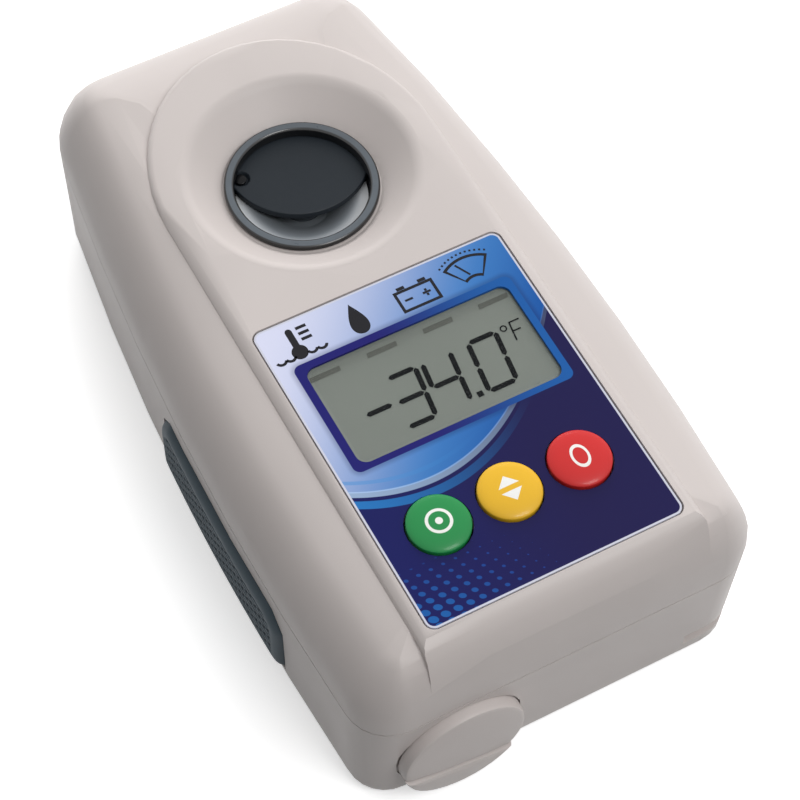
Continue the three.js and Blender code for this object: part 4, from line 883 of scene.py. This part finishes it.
# Circuit boards
# Glass-cloth boards with green solder mask over copper tracks, and small tinned pads in rows.
# The tracks run along the board in some patches and across it in others.
track_pitch, track_from, track_to, pad_pitch, pad_radius = 1.3, 0.3, 0.34, 2.54, 0.17
board_material, board_shader, place = new_material("circuit_board", coat_weight=0.3, coat_roughness=0.2)
x, y = axes(place)[:2]
lane = (x / track_pitch + (y / 9).math("FLOOR") * 0.37).math("FRACT") - 0.5
cross = (y / track_pitch + (x / 7).math("FLOOR") * 0.53).math("FRACT") - 0.5
tracks = blend(ramp(noise(place, 90, 2), 0.49, 0.51), ramp(lane.math("ABSOLUTE"), track_from, track_to),
               ramp(cross.math("ABSOLUTE"), track_from, track_to))
tracks = tracks.node("ShaderNodeSeparateColor", {0: tracks})
pad_x, pad_y = ((component / pad_pitch).math("FRACT") - 0.5 for component in (x, y))
from_pad = (pad_x ** 2 + pad_y ** 2).math("SQRT")
pads = (1 - ramp(from_pad, pad_radius, pad_radius + 0.02)) * ramp(noise(place, 60, 1), 0.58, 0.6)
mask_green = blend(tracks, tint(22, 88, 48), tint(36, 116, 62))
feed(board_shader, base_color=blend(pads, mask_green, tint(190, 188, 178)), metallic=pads * 0.9,
     roughness=0.34 + 0.1 * noise(place, 600), normal=bump(tracks + pads, 30, 0.6))
dress(["main_board", "sensor_board"], board_material)

# Holder and contact strips of the display
# The holder is white moulding. The strips are soft rubber in thin layers, with and without carbon.
holder_material, holder_shader, place = new_material("holder_white")
feed(holder_shader, base_color=blend(noise(place, 300), tint(220, 220, 214), tint(230, 230, 225)),
     roughness=0.42 + 0.12 * noise(place, 600), normal=bump(noise(place, 4000), 8, 0.4))
dress(["lcd_holder"], holder_material)
layers_in_mm = 5
strip_material, strip_shader, place = new_material("contact_strip")
x, z = axes(place)[::2]
layers = ramp(((x * layers_in_mm).math("FRACT") - 0.5).math("ABSOLUTE"), 0.2, 0.3)
strip_middle = middle_of(*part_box("lcd_strip_near"))
core = ramp((z - strip_middle.z).math("ABSOLUTE"), 0, 3)
feed(strip_shader, base_color=blend(layers, tint(206, 150, 158), tint(44, 38, 40)), roughness=0.6 + 0.1 * core)
dress(["lcd_strip_near", "lcd_strip_far"], strip_material)

# Battery tube and cells
# The tube is plain grey moulding. Each cell is a steel can in a plain sleeve, grey with one paler end band.
tube_material, tube_shader, place = new_material("tube_moulding")
rub = noise(place, 400)
feed(tube_shader, base_color=blend(rub, tint(70, 73, 76), tint(82, 85, 88)), roughness=0.42 + 0.14 * rub,
     normal=bump(noise(place, 3600), 10, 0.5))
smooth_copy("battery_tube", tube_material, "case")
for cell in ("battery_front", "battery_rear"):
    made, shader, place = new_material(cell + "_sleeve", coat_weight=0.4, coat_roughness=0.1)
    y = axes(place)[1]
    low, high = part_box(cell)
    along = (y - low.y * mm) / ((high.y - low.y) * mm)
    band = ramp(along, 0.74, 0.745) * (1 - ramp(along, 0.955, 0.958))
    ends = (ramp(along, 0.965, 0.968) + 1 - ramp(along, 0.012, 0.014)).math("MINIMUM", 1)
    scuff = noise(place, 700)
    sleeve = blend(band, blend(scuff, tint(46, 50, 54), tint(56, 60, 64)), tint(176, 180, 182))
    feed(shader, base_color=blend(ends, sleeve, (0.6, 0.6, 0.58)), metallic=ends, roughness=0.2 + 0.2 * scuff,
         normal=bump(scuff, 6, 0.4))
    smooth_copy(cell, made, "case")
